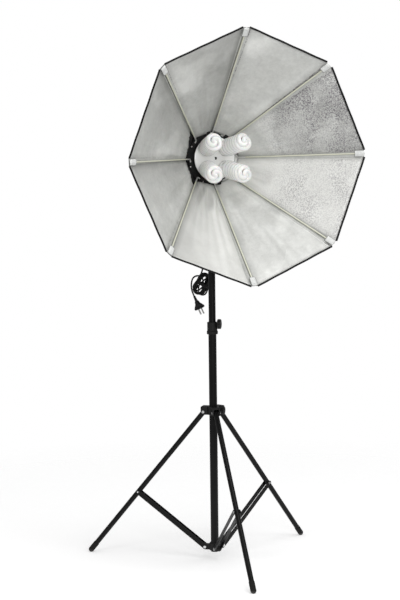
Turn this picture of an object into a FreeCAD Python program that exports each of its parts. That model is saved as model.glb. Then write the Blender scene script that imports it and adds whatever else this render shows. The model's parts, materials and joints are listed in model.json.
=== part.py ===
import FreeCAD, Part
import math
import os

# An octagonal studio softbox on a four-lamp head and a three-section light stand.
# Millimetres. +Z is up, the floor is z = 0 and the softbox opens towards -Y.
# The origin lies on the floor, under the middle of the object's box.

V = FreeCAD.Vector

# ---------------------------------------------------------------- driving dimensions

running_fit = 0.05        # radial clearance of pins, bolts and the spigot
sliding_gap = 0.3         # clearance between pieces that slide or turn past each other
seat_gap = 0.05           # radial clearance of pieces fixed to each other

# stand
column_y = 80.0           # the column stands behind the middle of the object
tube_wall = 1.2
lower_tube_radius = 12.5
middle_tube_radius = lower_tube_radius - tube_wall - sliding_gap
top_tube_radius = middle_tube_radius - tube_wall - sliding_gap
lower_tube_bottom = 30.0
lower_clamp_bottom = 717.5
upper_clamp_bottom = 1020.0
clamp_height = 38.0
clamp_wall = 3.4          # round the larger tube
clamp_flange = 1.5        # the foot of a clamp stands proud of its body
clamp_ledge = 13.0        # top of a clamp, above the end of the larger tube
middle_tube_overlap = 255.0
middle_tube_least_overlap = 75.0
top_tube_length = 500.0
top_tube_least_overlap = 80.0
top_tube_shows = 10.0

# tripod
first_leg_azimuth = 142.7
leg_names = ("a", "b", "c")
foot_circle_radius = 413.0
leg_radius = 8.0
leg_wall = 1.2
leg_pivot_radius = 30.0   # pivots of legs and braces, from the column's axis
crown_pivot_z = 471.5
spider_pivot_z = 38.5
brace_joint_reach = 345.0  # along the leg, from its top pivot
folded_angle = 2.0        # a leg's angle to the column when folded
pin_radius = 2.0
rivet_head_radius = 4.4
rivet_head_height = 1.6
brace_width = 14.0
brace_thickness = 2.0
side_gap = 0.4            # between flat faces that swing past each other
ear_thickness = 4.0
crown_below_pivot = 8.5
crown_above_pivot = 18.0
crown_collar_wall = 5.5
spider_collar_wall = 4.5
foot_cap_wall = 1.0
foot_cap_length = 28.0
foot_flat_depth = 0.5     # how much of the rounded foot is cut flat

# knobs
knob_radius = 15.5
knob_thickness = 10.5
crown_knob_radius = 12.5
screw_radius = 3.0
knob_gap = 0.8
clamp_knob_azimuth = -35.0
crown_knob_azimuth = -37.3

# head mount
spigot_radius = 7.95
spigot_length = 36.0
receiver_wall = 7.0
receiver_height = 46.0
clevis_ear_thickness = 4.7
tongue_thickness = 10.0
tongue_radius = 11.0
tilt_pivot_drop = 125.0   # below the lamp's axis
bolt_radius = 3.0
tilt_knob_radius = 16.0

# lamp head, in its own frame: z runs out of the mouth from the rim of the socket plate
lamp_axis_z = 1265.5
plate_ahead_of_column = 32.0
housing_radius = 67.0
housing_depth = 85.0
housing_wall = 2.5
housing_straight = 38.0
housing_back_radius = 46.0
plate_thickness = 3.0
plate_dome = 8.0
plate_centre_hole = 4.5
socket_circle_radius = 40.0
bulb_splay = 14.3
ballast_radius = 21.5
ballast_top_radius = 25.0
ballast_top = 20.0
spiral_radius = 28.0
spiral_top = 131.0
spiral_wall = 3.0
spiral_turns = 7
cap_radius = 13.25
cap_length = 26.0
socket_wall = 2.6
contact_radius = 4.5
switch_width = 19.0
switch_height = 11.0
switch_spacing = 34.0
switch_rest_tilt = 7.0

# softbox
mouth_radius = 375.0      # from the axis to a blunt corner, inside
mouth_z = 268.0
rib_seat_z = -8.0
rib_seat_radius = 77.0
rib_radius = 2.25
rib_hook_length = 25.0
rib_hook_bend = 7.0
rib_tip_inset = 14.0      # the rod ends this far short of the rim
shell_off_rib = 5.0       # radially, from the rod's line to the fabric
shell_wall = 2.5
shell_rear_z = 4.0
blunt_at_mouth = 22.0
blunt_at_rear = 6.0
piping_height = 4.5
piping_proud = 1.0
pocket_length = 36.0
pocket_width = 26.0
pocket_depth = 9.0
box_roll = 1.4
ring_width = 19.0
ring_thickness = 10.0
collar_overhang = 9.0     # the fabric collar reaches this far behind the ring
seat_block = 12.0

# cord
cord_radius = 2.5
strain_relief_length = 33.0
plug_pin_radius = 2.4
plug_pin_length = 19.0
plug_pin_spacing = 19.0

# ---------------------------------------------------------------- worked out

leg_azimuths = [first_leg_azimuth - 120.0 * i for i in range(3)]
foot_radius = leg_radius + foot_cap_wall
foot_centre_z = foot_radius - foot_flat_depth
leg_angle = math.degrees(math.atan2(foot_circle_radius - leg_pivot_radius,
                                    crown_pivot_z - foot_centre_z))
leg_length = math.hypot(foot_circle_radius - leg_pivot_radius, crown_pivot_z - foot_centre_z)


def polar(radius, azimuth, z=0.0):
    """A point round the Z axis."""
    a = math.radians(azimuth)
    return V(radius * math.cos(a), radius * math.sin(a), z)


brace_out = brace_joint_reach * math.sin(math.radians(leg_angle))
brace_rise = crown_pivot_z - brace_joint_reach * math.cos(math.radians(leg_angle)) - spider_pivot_z
brace_length = math.hypot(brace_out, brace_rise)
brace_angle = math.degrees(math.atan2(brace_out, brace_rise))
folded_brace_angle = math.degrees(math.asin(
    brace_joint_reach * math.sin(math.radians(folded_angle)) / brace_length))
fold_travel = (brace_joint_reach * math.cos(math.radians(folded_angle))
               + brace_length * math.cos(math.radians(folded_brace_angle))
               - (crown_pivot_z - spider_pivot_z))

clamp_top_of = {"lower": lower_clamp_bottom + clamp_height, "upper": upper_clamp_bottom + clamp_height}
lower_tube_top = clamp_top_of["lower"] - clamp_ledge
middle_tube_bottom = clamp_top_of["lower"] - middle_tube_overlap
middle_tube_top = clamp_top_of["upper"] - clamp_ledge
top_tube_top = clamp_top_of["upper"] + top_tube_shows
middle_travel_down = upper_clamp_bottom - clamp_top_of["lower"] - 2.0
middle_travel_up = middle_tube_overlap - middle_tube_least_overlap
top_travel = clamp_top_of["upper"] - (top_tube_top - top_tube_length) - top_tube_least_overlap

tilt_pivot_z = lamp_axis_z - tilt_pivot_drop
receiver_bottom = top_tube_top + 4.0
receiver_top = receiver_bottom + receiver_height
receiver_radius = spigot_radius + receiver_wall
plate_y = column_y - plate_ahead_of_column

cone_slope = (mouth_radius - shell_off_rib - rib_seat_radius) / (mouth_z - rib_seat_z)

# ---------------------------------------------------------------- helpers


def rod(start, end, radius):
    """A round bar between two points."""
    run = end - start
    return Part.makeCylinder(radius, run.Length, start, run)


def ring(radius, bore, height, z=0.0):
    """A round collar on the Z axis."""
    outer = Part.makeCylinder(radius, height, V(0, 0, z))
    return outer.cut(Part.makeCylinder(bore, height + 2, V(0, 0, z - 1)))


def block(low, high):
    """A box between two corners."""
    size = high - low
    return Part.makeBox(size.x, size.y, size.z, low)


def prism(points, run):
    """A flat outline pushed along a vector."""
    return Part.Face(Part.makePolygon(points + [points[0]])).extrude(run)


def turned(profile):
    """A closed outline of (radius, z) points turned round the Z axis."""
    points = [V(r, 0, z) for r, z in profile]
    face = Part.Face(Part.makePolygon(points + [points[0]]))
    return face.revolve(V(0, 0, 0), V(0, 0, 1), 360)


def joined(shapes):
    """Touching or overlapping solids made one."""
    return shapes[0].fuse(shapes[1:]).removeSplitter()


def frame_at(origin, z_dir, x_dir):
    """The placement with this origin, Z axis and X axis."""
    return FreeCAD.Placement(origin, FreeCAD.Rotation(x_dir, V(0, 0, 0), z_dir, "ZXY"))


def put(shape, placement):
    """A copy of the shape moved by a placement."""
    copy = shape.copy()
    copy.Placement = placement.multiply(copy.Placement)
    return copy


def swept(points, radius):
    """A round tube along straight runs joined by tangent arcs; also returns the arcs' radii."""
    edges = []
    radii = []
    here = points[0]
    for before, corner, after in zip(points, points[1:], points[2:]):
        back = (before - corner).normalize()
        ahead = (after - corner).normalize()
        turn = math.pi - back.getAngle(ahead)
        run = min((before - corner).Length, (after - corner).Length)
        setback = 0.45 * run
        radii.append(setback / math.tan(turn / 2))
        start = corner + back * setback
        end = corner + ahead * setback
        bisector = (back + ahead).normalize()
        middle = corner + bisector * (radii[-1] / math.cos(turn / 2) - radii[-1])
        edges.append(Part.LineSegment(here, start).toShape())
        edges.append(Part.Arc(start, middle, end).toShape())
        here = end
    edges.append(Part.LineSegment(here, points[-1]).toShape())
    path = Part.Wire(edges)
    circle = Part.Wire(Part.Circle(points[0], points[1] - points[0], radius).toShape())
    return path.makePipeShell([circle], True, False), path.Length, radii


os.makedirs("parts", exist_ok=True)
solids = {}


def save(name, shapes, placement=FreeCAD.Placement()):
    """Write one node, which may hold several separate solids."""
    found = [solid for shape in shapes for solid in put(shape, placement).Solids]
    node = found[0] if len(found) == 1 else Part.makeCompound(found)
    solids[name] = node
    node.exportStep("parts/" + name + ".step")


on_column = FreeCAD.Placement(V(0, column_y, 0), FreeCAD.Rotation())
lamp_frame = frame_at(V(0, plate_y, lamp_axis_z), V(0, -1, 0), V(1, 0, 0))
box_frame = lamp_frame.multiply(FreeCAD.Placement(V(0, 0, 0), FreeCAD.Rotation(V(0, 0, 1), box_roll)))

# ---------------------------------------------------------------- knobs


def knob(radius, thickness, shank_length):
    """A scalloped clamp knob with its screw; the screw points along -Z."""
    grips = 9
    scallop = radius * 0.2
    body = Part.makeCylinder(radius, thickness)
    body = body.makeChamfer(1.2, [e for e in body.Edges if e.Curve.TypeId == "Part::GeomCircle"])
    cutters = [Part.makeCylinder(scallop, thickness + 2,
                                 polar(radius + scallop * 0.55, 360.0 * i / grips, -1))
               for i in range(grips)]
    body = body.cut(cutters)
    dish = Part.makeCylinder(radius * 0.55, 1.0, V(0, 0, thickness - 1.0))
    screw = Part.makeCylinder(screw_radius, shank_length + 1, V(0, 0, -shank_length))
    return joined([body.cut(dish), screw])


def knob_on_column(azimuth, z, seat_radius, tube_radius, radius):
    """A knob whose screw reaches almost to the tube that it locks."""
    shape = knob(radius, knob_thickness, seat_radius - tube_radius - sliding_gap)
    placement = frame_at(polar(seat_radius, azimuth, z), polar(1, azimuth), V(0, 0, 1))
    return put(shape, placement)


# ---------------------------------------------------------------- column


def column_tube(radius, bottom, top):
    return ring(radius, radius - tube_wall, top - bottom, bottom)


save("lower_tube", [column_tube(lower_tube_radius, lower_tube_bottom, lower_tube_top)], on_column)
save("middle_tube", [column_tube(middle_tube_radius, middle_tube_bottom, middle_tube_top)], on_column)
save("top_tube", [column_tube(top_tube_radius, top_tube_top - top_tube_length, top_tube_top)], on_column)

plug_shoulder = lower_tube_bottom - 6.0
end_plug = joined([
    Part.makeCylinder(lower_tube_radius - tube_wall - seat_gap, 18.0, V(0, 0, lower_tube_bottom)),
    Part.makeCylinder(lower_tube_radius - 0.5, 6.0, V(0, 0, plug_shoulder)),
])
save("tube_end_plug", [end_plug], on_column)

clamp_knob_z = {name: top - clamp_ledge / 2 for name, top in clamp_top_of.items()}


def section_clamp(outer_tube, inner_tube, bottom, azimuth):
    """A collar fixed on the end of one tube, in which the next tube slides."""
    top = bottom + clamp_height
    radius = outer_tube + clamp_wall
    knob_z = top - clamp_ledge / 2
    body = turned([
        (0, bottom), (radius + clamp_flange - 0.8, bottom), (radius + clamp_flange, bottom + 0.8),
        (radius + clamp_flange, bottom + 9), (radius, bottom + 11), (radius, top - 1.2),
        (radius - 1.2, top), (0, top),
    ])
    boss = rod(polar(inner_tube, azimuth, knob_z), polar(radius + 0.4, azimuth, knob_z), 5.5)
    body = joined([body, boss])
    bores = [
        Part.makeCylinder(outer_tube + seat_gap, clamp_height - clamp_ledge, V(0, 0, bottom)),
        Part.makeCylinder(inner_tube + sliding_gap, clamp_height, V(0, 0, bottom)),
        rod(V(0, 0, knob_z), polar(radius + 5, azimuth, knob_z), screw_radius + running_fit),
    ]
    slot = block(V(-radius - 4, -1.0, bottom - 1), V(-inner_tube + 2, 1.0, top - clamp_ledge))
    slot.rotate(V(0, 0, 0), V(0, 0, 1), azimuth)
    return body.cut(bores + [slot])


for name, outer, inner, bottom in (
        ("lower", lower_tube_radius, middle_tube_radius, lower_clamp_bottom),
        ("upper", middle_tube_radius, top_tube_radius, upper_clamp_bottom)):
    seat = outer + clamp_wall + 0.4 + knob_gap
    save(name + "_clamp", [section_clamp(outer, inner, bottom, clamp_knob_azimuth)], on_column)
    save(name + "_clamp_knob",
         [knob_on_column(clamp_knob_azimuth, clamp_knob_z[name], seat, inner, knob_radius)], on_column)

# ---------------------------------------------------------------- crown and base spider

ear_inside = leg_radius + side_gap
ear_outside = ear_inside + ear_thickness
crown_collar_radius = lower_tube_radius + sliding_gap + crown_collar_wall
crown_bottom = crown_pivot_z - crown_below_pivot
crown_top = crown_pivot_z + crown_above_pivot
crown_reach = leg_pivot_radius + 8.0


def crown_bracket(azimuth):
    """Two ears and the web over them, for one leg."""
    start = crown_collar_radius - crown_collar_wall / 2
    ears = [block(V(start, side * ear_inside if side > 0 else -ear_outside, crown_bottom),
                  V(crown_reach, ear_outside if side > 0 else -ear_inside, crown_top))
            for side in (-1, 1)]
    web = block(V(start, -ear_inside, crown_pivot_z + leg_radius + 3.5),
                V(crown_reach, ear_inside, crown_top))
    bracket = joined(ears + [web])
    outer_edges = [e for e in bracket.Edges
                   if abs(e.CenterOfMass.x - crown_reach) < 0.01 and e.Length > ear_inside * 2
                   and e.CenterOfMass.z > crown_top - 0.1]
    bracket = bracket.makeFillet(4.0, outer_edges)
    hole = rod(V(leg_pivot_radius, -ear_outside - 1, crown_pivot_z),
               V(leg_pivot_radius, ear_outside + 1, crown_pivot_z), pin_radius + 0.02)
    bracket = bracket.cut(hole)
    bracket.rotate(V(0, 0, 0), V(0, 0, 1), azimuth)
    return bracket


def pivot_pin(half_width, azimuth, z):
    """A headed pin across a bracket."""
    axis_point = V(leg_pivot_radius, 0, z)
    across = V(0, 1, 0)
    pin = joined([rod(axis_point - across * half_width, axis_point + across * half_width, pin_radius)]
                 + [rod(axis_point + across * side * half_width,
                        axis_point + across * side * (half_width + rivet_head_height), rivet_head_radius)
                    for side in (-1, 1)])
    pin.rotate(V(0, 0, 0), V(0, 0, 1), azimuth)
    return pin


crown_knob_z = crown_pivot_z + 5.0
crown_knob_seat = crown_collar_radius + 8.0
crown_collar = Part.makeCylinder(crown_collar_radius, crown_top - crown_bottom, V(0, 0, crown_bottom))
crown_boss = rod(polar(lower_tube_radius, crown_knob_azimuth, crown_knob_z),
                 polar(crown_knob_seat - knob_gap, crown_knob_azimuth, crown_knob_z), 7.0)
crown = joined([crown_collar, crown_boss] + [crown_bracket(a) for a in leg_azimuths])
crown = crown.cut([
    Part.makeCylinder(lower_tube_radius + sliding_gap, crown_top, V(0, 0, 1)),
    rod(V(0, 0, crown_knob_z), polar(crown_knob_seat + 1, crown_knob_azimuth, crown_knob_z),
        screw_radius + running_fit),
])
save("leg_crown", [crown], on_column)
save("leg_pins", [pivot_pin(ear_outside, a, crown_pivot_z) for a in leg_azimuths], on_column)
save("crown_knob",
     [knob_on_column(crown_knob_azimuth, crown_knob_z, crown_knob_seat, lower_tube_radius,
                     crown_knob_radius)],
     on_column)

lug_half = leg_radius
lug_radius = 8.5
brace_inside = leg_radius + side_gap
brace_outside = brace_inside + brace_thickness
spider_collar_radius = lower_tube_radius + seat_gap + spider_collar_wall


def spider_lug(azimuth):
    """A thick lug that holds the lower end of one pair of braces."""
    lug = joined([
        block(V(lower_tube_radius + 2, -lug_half, spider_pivot_z - lug_radius),
              V(leg_pivot_radius, lug_half, spider_pivot_z + lug_radius)),
        rod(V(leg_pivot_radius, -lug_half, spider_pivot_z), V(leg_pivot_radius, lug_half, spider_pivot_z),
            lug_radius),
    ])
    hole = rod(V(leg_pivot_radius, -lug_half - 1, spider_pivot_z),
               V(leg_pivot_radius, lug_half + 1, spider_pivot_z), pin_radius + 0.02)
    lug = lug.cut(hole)
    lug.rotate(V(0, 0, 0), V(0, 0, 1), azimuth)
    return lug


spider_collar = turned([
    (0, lower_tube_bottom - 1), (spider_collar_radius, lower_tube_bottom - 1),
    (spider_collar_radius, spider_pivot_z + 12), (spider_collar_radius - 1.5, spider_pivot_z + 14),
    (0, spider_pivot_z + 14),
])
spider = joined([spider_collar] + [spider_lug(a) for a in leg_azimuths])
spider = spider.cut(Part.makeCylinder(lower_tube_radius + seat_gap, 60, V(0, 0, lower_tube_bottom - 10)))
save("base_spider", [spider], on_column)
save("brace_pins", [pivot_pin(brace_outside + side_gap, a, spider_pivot_z) for a in leg_azimuths], on_column)

# ---------------------------------------------------------------- legs and braces


def leg_frame(azimuth):
    """Origin at the leg's top pivot, +Z down the leg, +X along its pin."""
    a = math.radians(leg_angle)
    down = polar(math.sin(a), azimuth) - V(0, 0, math.cos(a))
    return on_column.multiply(frame_at(polar(leg_pivot_radius, azimuth, crown_pivot_z), down,
                                       polar(1, azimuth + 90)))


def brace_frame(azimuth):
    """Origin at the brace's lower pivot, +Z up the brace, +X along its pin."""
    a = math.radians(brace_angle)
    up = polar(math.sin(a), azimuth) + V(0, 0, math.cos(a))
    return on_column.multiply(frame_at(polar(leg_pivot_radius, azimuth, spider_pivot_z), up,
                                       polar(1, azimuth + 90)))


leg_tube_end = leg_length - foot_radius + 4.0
leg_bar = joined([Part.makeCylinder(leg_radius, leg_tube_end), Part.makeSphere(leg_radius)])
leg_hollow = Part.makeCylinder(leg_radius - leg_wall, leg_tube_end, V(0, 0, 22))
leg_hole = rod(V(-leg_radius - 1, 0, 0), V(leg_radius + 1, 0, 0), pin_radius + running_fit)
leg = leg_bar.cut([leg_hollow, leg_hole])

cap_start = leg_length - foot_cap_length
foot_outside = joined([
    Part.makeCylinder(foot_radius, foot_cap_length, V(0, 0, cap_start)),
    Part.makeSphere(foot_radius, V(0, 0, leg_length)),
])
foot_inside = Part.makeCylinder(leg_radius + seat_gap, leg_tube_end - cap_start + 1.05,
                                V(0, 0, cap_start - 1))
foot_cap = foot_outside.cut(foot_inside)
floor_half = 2 * foot_circle_radius
below_floor = block(V(-floor_half, -floor_half, -50), V(floor_half, floor_half, 0))


def brace_bar(side):
    """One flat bar with its lower pin hole and its rivet head at the leg."""
    low = side * brace_inside
    high = side * brace_outside
    left, right = min(low, high), max(low, high)
    bar = joined([
        block(V(left, -brace_width / 2, 0), V(right, brace_width / 2, brace_length)),
        rod(V(left, 0, 0), V(right, 0, 0), brace_width / 2),
        rod(V(left, 0, brace_length), V(right, 0, brace_length), brace_width / 2),
        rod(V(high, 0, brace_length), V(high + side * rivet_head_height, 0, brace_length),
            rivet_head_radius),
    ])
    return bar.cut(rod(V(left - 1, 0, 0), V(right + 1, 0, 0), pin_radius + running_fit))


for name, azimuth in zip(leg_names, leg_azimuths):
    save("leg_" + name, [leg], leg_frame(azimuth))
    save("foot_cap_" + name, [put(foot_cap, leg_frame(azimuth)).cut(below_floor)])
    save("brace_" + name, [brace_bar(-1), brace_bar(1)], brace_frame(azimuth))

# ---------------------------------------------------------------- spigot, receiver and tilt bracket

spigot_stem = top_tube_radius - tube_wall - seat_gap
spigot = joined([
    Part.makeCylinder(spigot_stem, 30.0, V(0, 0, top_tube_top - 30.0)),
    Part.makeCylinder(top_tube_radius, receiver_bottom - sliding_gap - top_tube_top, V(0, 0, top_tube_top)),
    turned([
        (0, receiver_bottom - 1), (spigot_radius, receiver_bottom - 1),
        (spigot_radius, receiver_bottom + 12), (spigot_radius - 1.5, receiver_bottom + 14),
        (spigot_radius - 1.5, receiver_bottom + 24), (spigot_radius, receiver_bottom + 26),
        (spigot_radius, receiver_bottom + spigot_length - 1.5),
        (spigot_radius - 1.5, receiver_bottom + spigot_length), (0, receiver_bottom + spigot_length),
    ]),
])
save("spigot", [spigot], on_column)

ear_in = tongue_thickness / 2 + sliding_gap
ear_out = ear_in + clevis_ear_thickness
receiver_knob_z = receiver_bottom + 19.0


def clevis_ear(side):
    """One ear of the receiver's clevis, rounded over the tilt bolt."""
    left, right = sorted((side * ear_in, side * ear_out))
    return joined([
        block(V(left, -tongue_radius, receiver_top - 5), V(right, tongue_radius, tilt_pivot_z)),
        rod(V(left, 0, tilt_pivot_z), V(right, 0, tilt_pivot_z), tongue_radius),
    ])


receiver = joined([Part.makeCylinder(receiver_radius, receiver_height, V(0, 0, receiver_bottom)),
                   clevis_ear(-1), clevis_ear(1)])
receiver = receiver.cut([
    Part.makeCylinder(spigot_radius + running_fit, spigot_length + 2.0, V(0, 0, receiver_bottom)),
    rod(V(-ear_out - 1, 0, tilt_pivot_z), V(ear_out + 1, 0, tilt_pivot_z), bolt_radius + 0.02),
    rod(V(0, 0, receiver_knob_z), V(-receiver_radius - 1, 0, receiver_knob_z), screw_radius + running_fit),
])
save("spigot_receiver", [receiver], on_column)
save("receiver_knob",
     [knob_on_column(180.0, receiver_knob_z, receiver_radius + knob_gap, spigot_radius, crown_knob_radius)],
     on_column)

tilt_bolt_end = ear_out + 20.0
tilt_bolt = joined([
    rod(V(-ear_out - 4, 0, tilt_pivot_z), V(tilt_bolt_end, 0, tilt_pivot_z), bolt_radius),
    put(Part.makeCylinder(5.5, 4.0), frame_at(V(-ear_out - 4, 0, tilt_pivot_z), V(1, 0, 0), V(0, 0, 1))),
])
save("tilt_bolt", [tilt_bolt], on_column)

tilt_knob = knob(tilt_knob_radius, 14.0, 0.0).cut(
    Part.makeCylinder(bolt_radius + running_fit, 60, V(0, 0, -20)))
tilt_knob = tilt_knob.Solids[0]
save("tilt_knob", [tilt_knob],
     on_column.multiply(frame_at(V(ear_out + knob_gap, 0, tilt_pivot_z), V(1, 0, 0), V(0, 0, 1))))

# the tongue leans back behind the fabric collar and ends in a saddle under the housing
ring_front_z = rib_seat_z - rib_radius - sliding_gap
collar_rear_z = ring_front_z - ring_thickness - collar_overhang
bracket_front = -plate_ahead_of_column - collar_rear_z + 1.0
bracket_back = bracket_front + 2 * tongue_radius
saddle_top = lamp_axis_z - housing_radius + 12.0
saddle_bottom = lamp_axis_z - housing_radius - 7.0
saddle_half_width = 22.0
tongue_half = tongue_thickness / 2
tongue_side = [
    (-tongue_radius, tilt_pivot_z), (-tongue_radius + 1.5, tilt_pivot_z + 6),
    (bracket_front, tilt_pivot_z + 24), (bracket_front, saddle_bottom + 1),
    (bracket_back, saddle_bottom + 1), (bracket_back, tilt_pivot_z + 30),
    (tongue_radius, tilt_pivot_z + 6), (tongue_radius, tilt_pivot_z),
]
bracket = joined([
    rod(V(-tongue_half, 0, tilt_pivot_z), V(tongue_half, 0, tilt_pivot_z), tongue_radius),
    prism([V(-tongue_half, y, z) for y, z in tongue_side], V(tongue_thickness, 0, 0)),
    block(V(-saddle_half_width, bracket_front, saddle_bottom),
          V(saddle_half_width, bracket_back, saddle_top)),
])
bracket = bracket.cut([
    Part.makeCylinder(housing_radius + seat_gap, 400, V(0, 200, lamp_axis_z), V(0, -1, 0)),
    rod(V(-20, 0, tilt_pivot_z), V(20, 0, tilt_pivot_z), bolt_radius + running_fit),
])
save("tilt_bracket", [bracket], on_column)

# ---------------------------------------------------------------- lamp housing and socket plate

back_z = -housing_depth
housing_outer = [
    (0, back_z), (housing_back_radius, back_z), (housing_back_radius + 7, back_z + 4),
    (housing_radius - 4, -housing_straight - 12), (housing_radius, -housing_straight), (housing_radius, 0),
    (0, 0),
]
housing = turned(housing_outer)
hollow = turned([
    (0, back_z + housing_wall), (housing_back_radius - 1, back_z + housing_wall),
    (housing_back_radius + 5, back_z + 4 + housing_wall),
    (housing_radius - 4 - housing_wall, -housing_straight - 12 + 1),
    (housing_radius - housing_wall, -housing_straight + 0.5),
    (housing_radius - housing_wall, 1), (0, 1),
])
switch_margin = 0.9
switch_centres = {"left": V(-switch_spacing / 2, 12, back_z), "right": V(switch_spacing / 2, 12, back_z)}
switch_holes = [
    block(c - V(switch_width / 2 + switch_margin, switch_height / 2 + switch_margin, 1),
          c + V(switch_width / 2 + switch_margin, switch_height / 2 + switch_margin, housing_wall + 1))
    for c in switch_centres.values()
]
vent_slots = []
for i in range(5):
    for side in (-1, 1):
        slot = block(V(-1.5, housing_back_radius - 26, back_z - 1),
                     V(1.5, housing_back_radius - 8, back_z + 6))
        slot.rotate(V(0, 0, 0), V(0, 0, 1), side * (62 + 14 * i))
        vent_slots.append(slot)

# the strain relief leaves the back of the housing downwards
relief_mouth = V(0, column_y + 70.5, 1190.0)
relief_run = V(0, 24.5, -26.0).normalize()
relief_start = relief_mouth - relief_run * strain_relief_length
cord_swing_point = relief_mouth + relief_run * (cord_radius + sliding_gap)
relief_hole = Part.makeCylinder(6.6, 40, relief_start - relief_run * 20, relief_run)
housing_body = put(housing.cut([hollow] + switch_holes + vent_slots), lamp_frame).cut(relief_hole)
save("lamp_housing", [housing_body])

relief_body = joined([
    Part.makeCylinder(9.0, 2.5, relief_start + relief_run * 2.0, relief_run),
    Part.makeCylinder(6.5, 9.0, relief_start + relief_run * 2.0, relief_run),
    Part.makeCone(6.5, 3.6, strain_relief_length - 10.0, relief_start + relief_run * 10.0, relief_run),
])
flange_room = put(housing, lamp_frame).cut(put(hollow, lamp_frame))
relief_body = relief_body.cut([
    flange_room.cut(relief_hole),
    Part.makeCylinder(cord_radius, 30, relief_start - relief_run * 5, relief_run),
])
save("strain_relief", [max(relief_body.Solids, key=lambda s: s.Volume)])


def rocker(name):
    """A rocker switch, resting with its lower half pressed in."""
    depth = 9.0
    half = switch_height / 2
    outline = [V(0, -half, depth / 2), V(0, half, depth / 2), V(0, half, -depth / 2),
               V(0, 0, -depth / 2 + 1.2), V(0, -half, -depth / 2)]
    shape = prism(outline, V(switch_width, 0, 0))
    shape.translate(V(-switch_width / 2, 0, 0))
    shape.rotate(V(0, 0, 0), V(1, 0, 0), switch_rest_tilt)
    return put(shape, FreeCAD.Placement(switch_centres[name], FreeCAD.Rotation()))


for name in switch_centres:
    save("switch_" + name, [rocker(name)], lamp_frame)


def dome_height(radius):
    """The socket plate's front face above its rim."""
    return plate_dome * (1 - (radius / housing_radius) ** 2)


dome_steps = 8
dome_radii = [(housing_radius - 1.5) * i / dome_steps for i in range(dome_steps + 1)]
dome_front = Part.BSplineCurve()
dome_front.interpolate([V(r, 0, plate_thickness + dome_height(r)) for r in dome_radii])
dome_back = Part.BSplineCurve()
dome_back.interpolate([V(r, 0, sliding_gap + dome_height(r)) for r in dome_radii])
edge_radius = housing_radius
plate_outline = Part.Wire([
    dome_front.toShape(),
    Part.LineSegment(V(dome_radii[-1], 0, plate_thickness + dome_height(dome_radii[-1])),
                     V(edge_radius, 0, plate_thickness - 0.5)).toShape(),
    Part.LineSegment(V(edge_radius, 0, plate_thickness - 0.5), V(edge_radius, 0, seat_gap)).toShape(),
    Part.LineSegment(V(edge_radius, 0, seat_gap), V(dome_radii[-1], 0, seat_gap)).toShape(),
    Part.LineSegment(V(dome_radii[-1], 0, seat_gap),
                     V(dome_radii[-1], 0, sliding_gap + dome_height(dome_radii[-1]))).toShape(),
    dome_back.toShape(),
    Part.LineSegment(V(0, 0, sliding_gap + plate_dome), V(0, 0, plate_thickness + plate_dome)).toShape(),
])
plate = Part.Face(plate_outline).revolve(V(0, 0, 0), V(0, 0, 1), 360)

# ---------------------------------------------------------------- bulbs and sockets

bulb_azimuths = {"bulb_1": 135.0, "bulb_2": 45.0, "bulb_3": 315.0, "bulb_4": 225.0}


def bulb_placement(azimuth):
    """Origin where a bulb's axis meets the plate's rim plane, +Z out along the bulb."""
    a = math.radians(bulb_splay)
    out = polar(math.sin(a), azimuth) + V(0, 0, math.cos(a))
    return frame_at(polar(socket_circle_radius, azimuth), out, polar(1, azimuth + 90))


ballast_bottom = -34.0
cap_bottom = ballast_bottom - cap_length
ballast = turned([
    (0, ballast_bottom), (cap_radius + 0.4, ballast_bottom), (ballast_radius - 2, ballast_bottom + 11),
    (ballast_radius, ballast_bottom + 20), (ballast_radius, 9), (ballast_top_radius, ballast_top - 4),
    (ballast_top_radius, ballast_top), (0, ballast_top),
])
cap = turned([
    (0, cap_bottom - 1.5), (4.5, cap_bottom - 1.5), (5.5, cap_bottom), (cap_radius - 3, cap_bottom + 2),
    (cap_radius, cap_bottom + 4), (cap_radius, ballast_bottom), (0, ballast_bottom),
])


def spiral_profile(offset):
    """The outline of the stacked turns, moved inwards by an offset."""
    pitch = (spiral_top - ballast_top) / (spiral_turns + 0.5)
    points = []
    for i in range(spiral_turns):
        low = ballast_top + i * pitch
        points.append((spiral_radius - 2.0 - offset, low + seat_gap))
        points.append((spiral_radius - offset, low + pitch * 0.5))
    shoulder = ballast_top + spiral_turns * pitch
    points.append((spiral_radius - 3.0 - offset, shoulder))
    points.append((spiral_radius - 12.0 - offset, spiral_top - offset))
    return points


spiral_outside = spiral_profile(0.0)
spiral_inside = spiral_profile(spiral_wall)
glass = turned(spiral_outside + [(0, spiral_top), (0, spiral_top - spiral_wall)] + spiral_inside[::-1])

socket_top = ballast_bottom - 0.5
socket_bore = cap_radius + running_fit
socket_floor = cap_bottom - 5.0
socket = turned([
    (0, socket_floor), (socket_bore + socket_wall, socket_floor), (socket_bore + socket_wall, socket_top),
    (socket_bore, socket_top), (socket_bore, socket_floor + 1.5), (0, socket_floor + 1.5),
])
contact = Part.makeCylinder(contact_radius, cap_bottom - 1.5 - sliding_gap - socket_floor - 1.5,
                            V(0, 0, socket_floor + 1.5))

placements = [bulb_placement(a) for a in bulb_azimuths.values()]
lamp_holes = [put(Part.makeCylinder(ballast_radius + 0.8, 60, V(0, 0, -25)), p) for p in placements]
plate = plate.cut(lamp_holes + [Part.makeCylinder(plate_centre_hole, 40, V(0, 0, -10))])
save("socket_plate", [plate], lamp_frame)
save("lamp_sockets", [put(socket, p) for p in placements], lamp_frame)
save("socket_contacts", [put(contact, p) for p in placements], lamp_frame)
for name, azimuth in bulb_azimuths.items():
    placement = lamp_frame.multiply(bulb_placement(azimuth))
    save(name + "_ballast", [ballast], placement)
    save(name + "_cap", [cap], placement)
    save(name + "_spiral", [glass], placement)

# ---------------------------------------------------------------- rib ring and ribs

ring_radius = housing_radius + seat_gap + ring_width
rib_azimuths = [45.0 * i for i in range(8)]
hook_axis_out = V(0, 1, 0)


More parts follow.
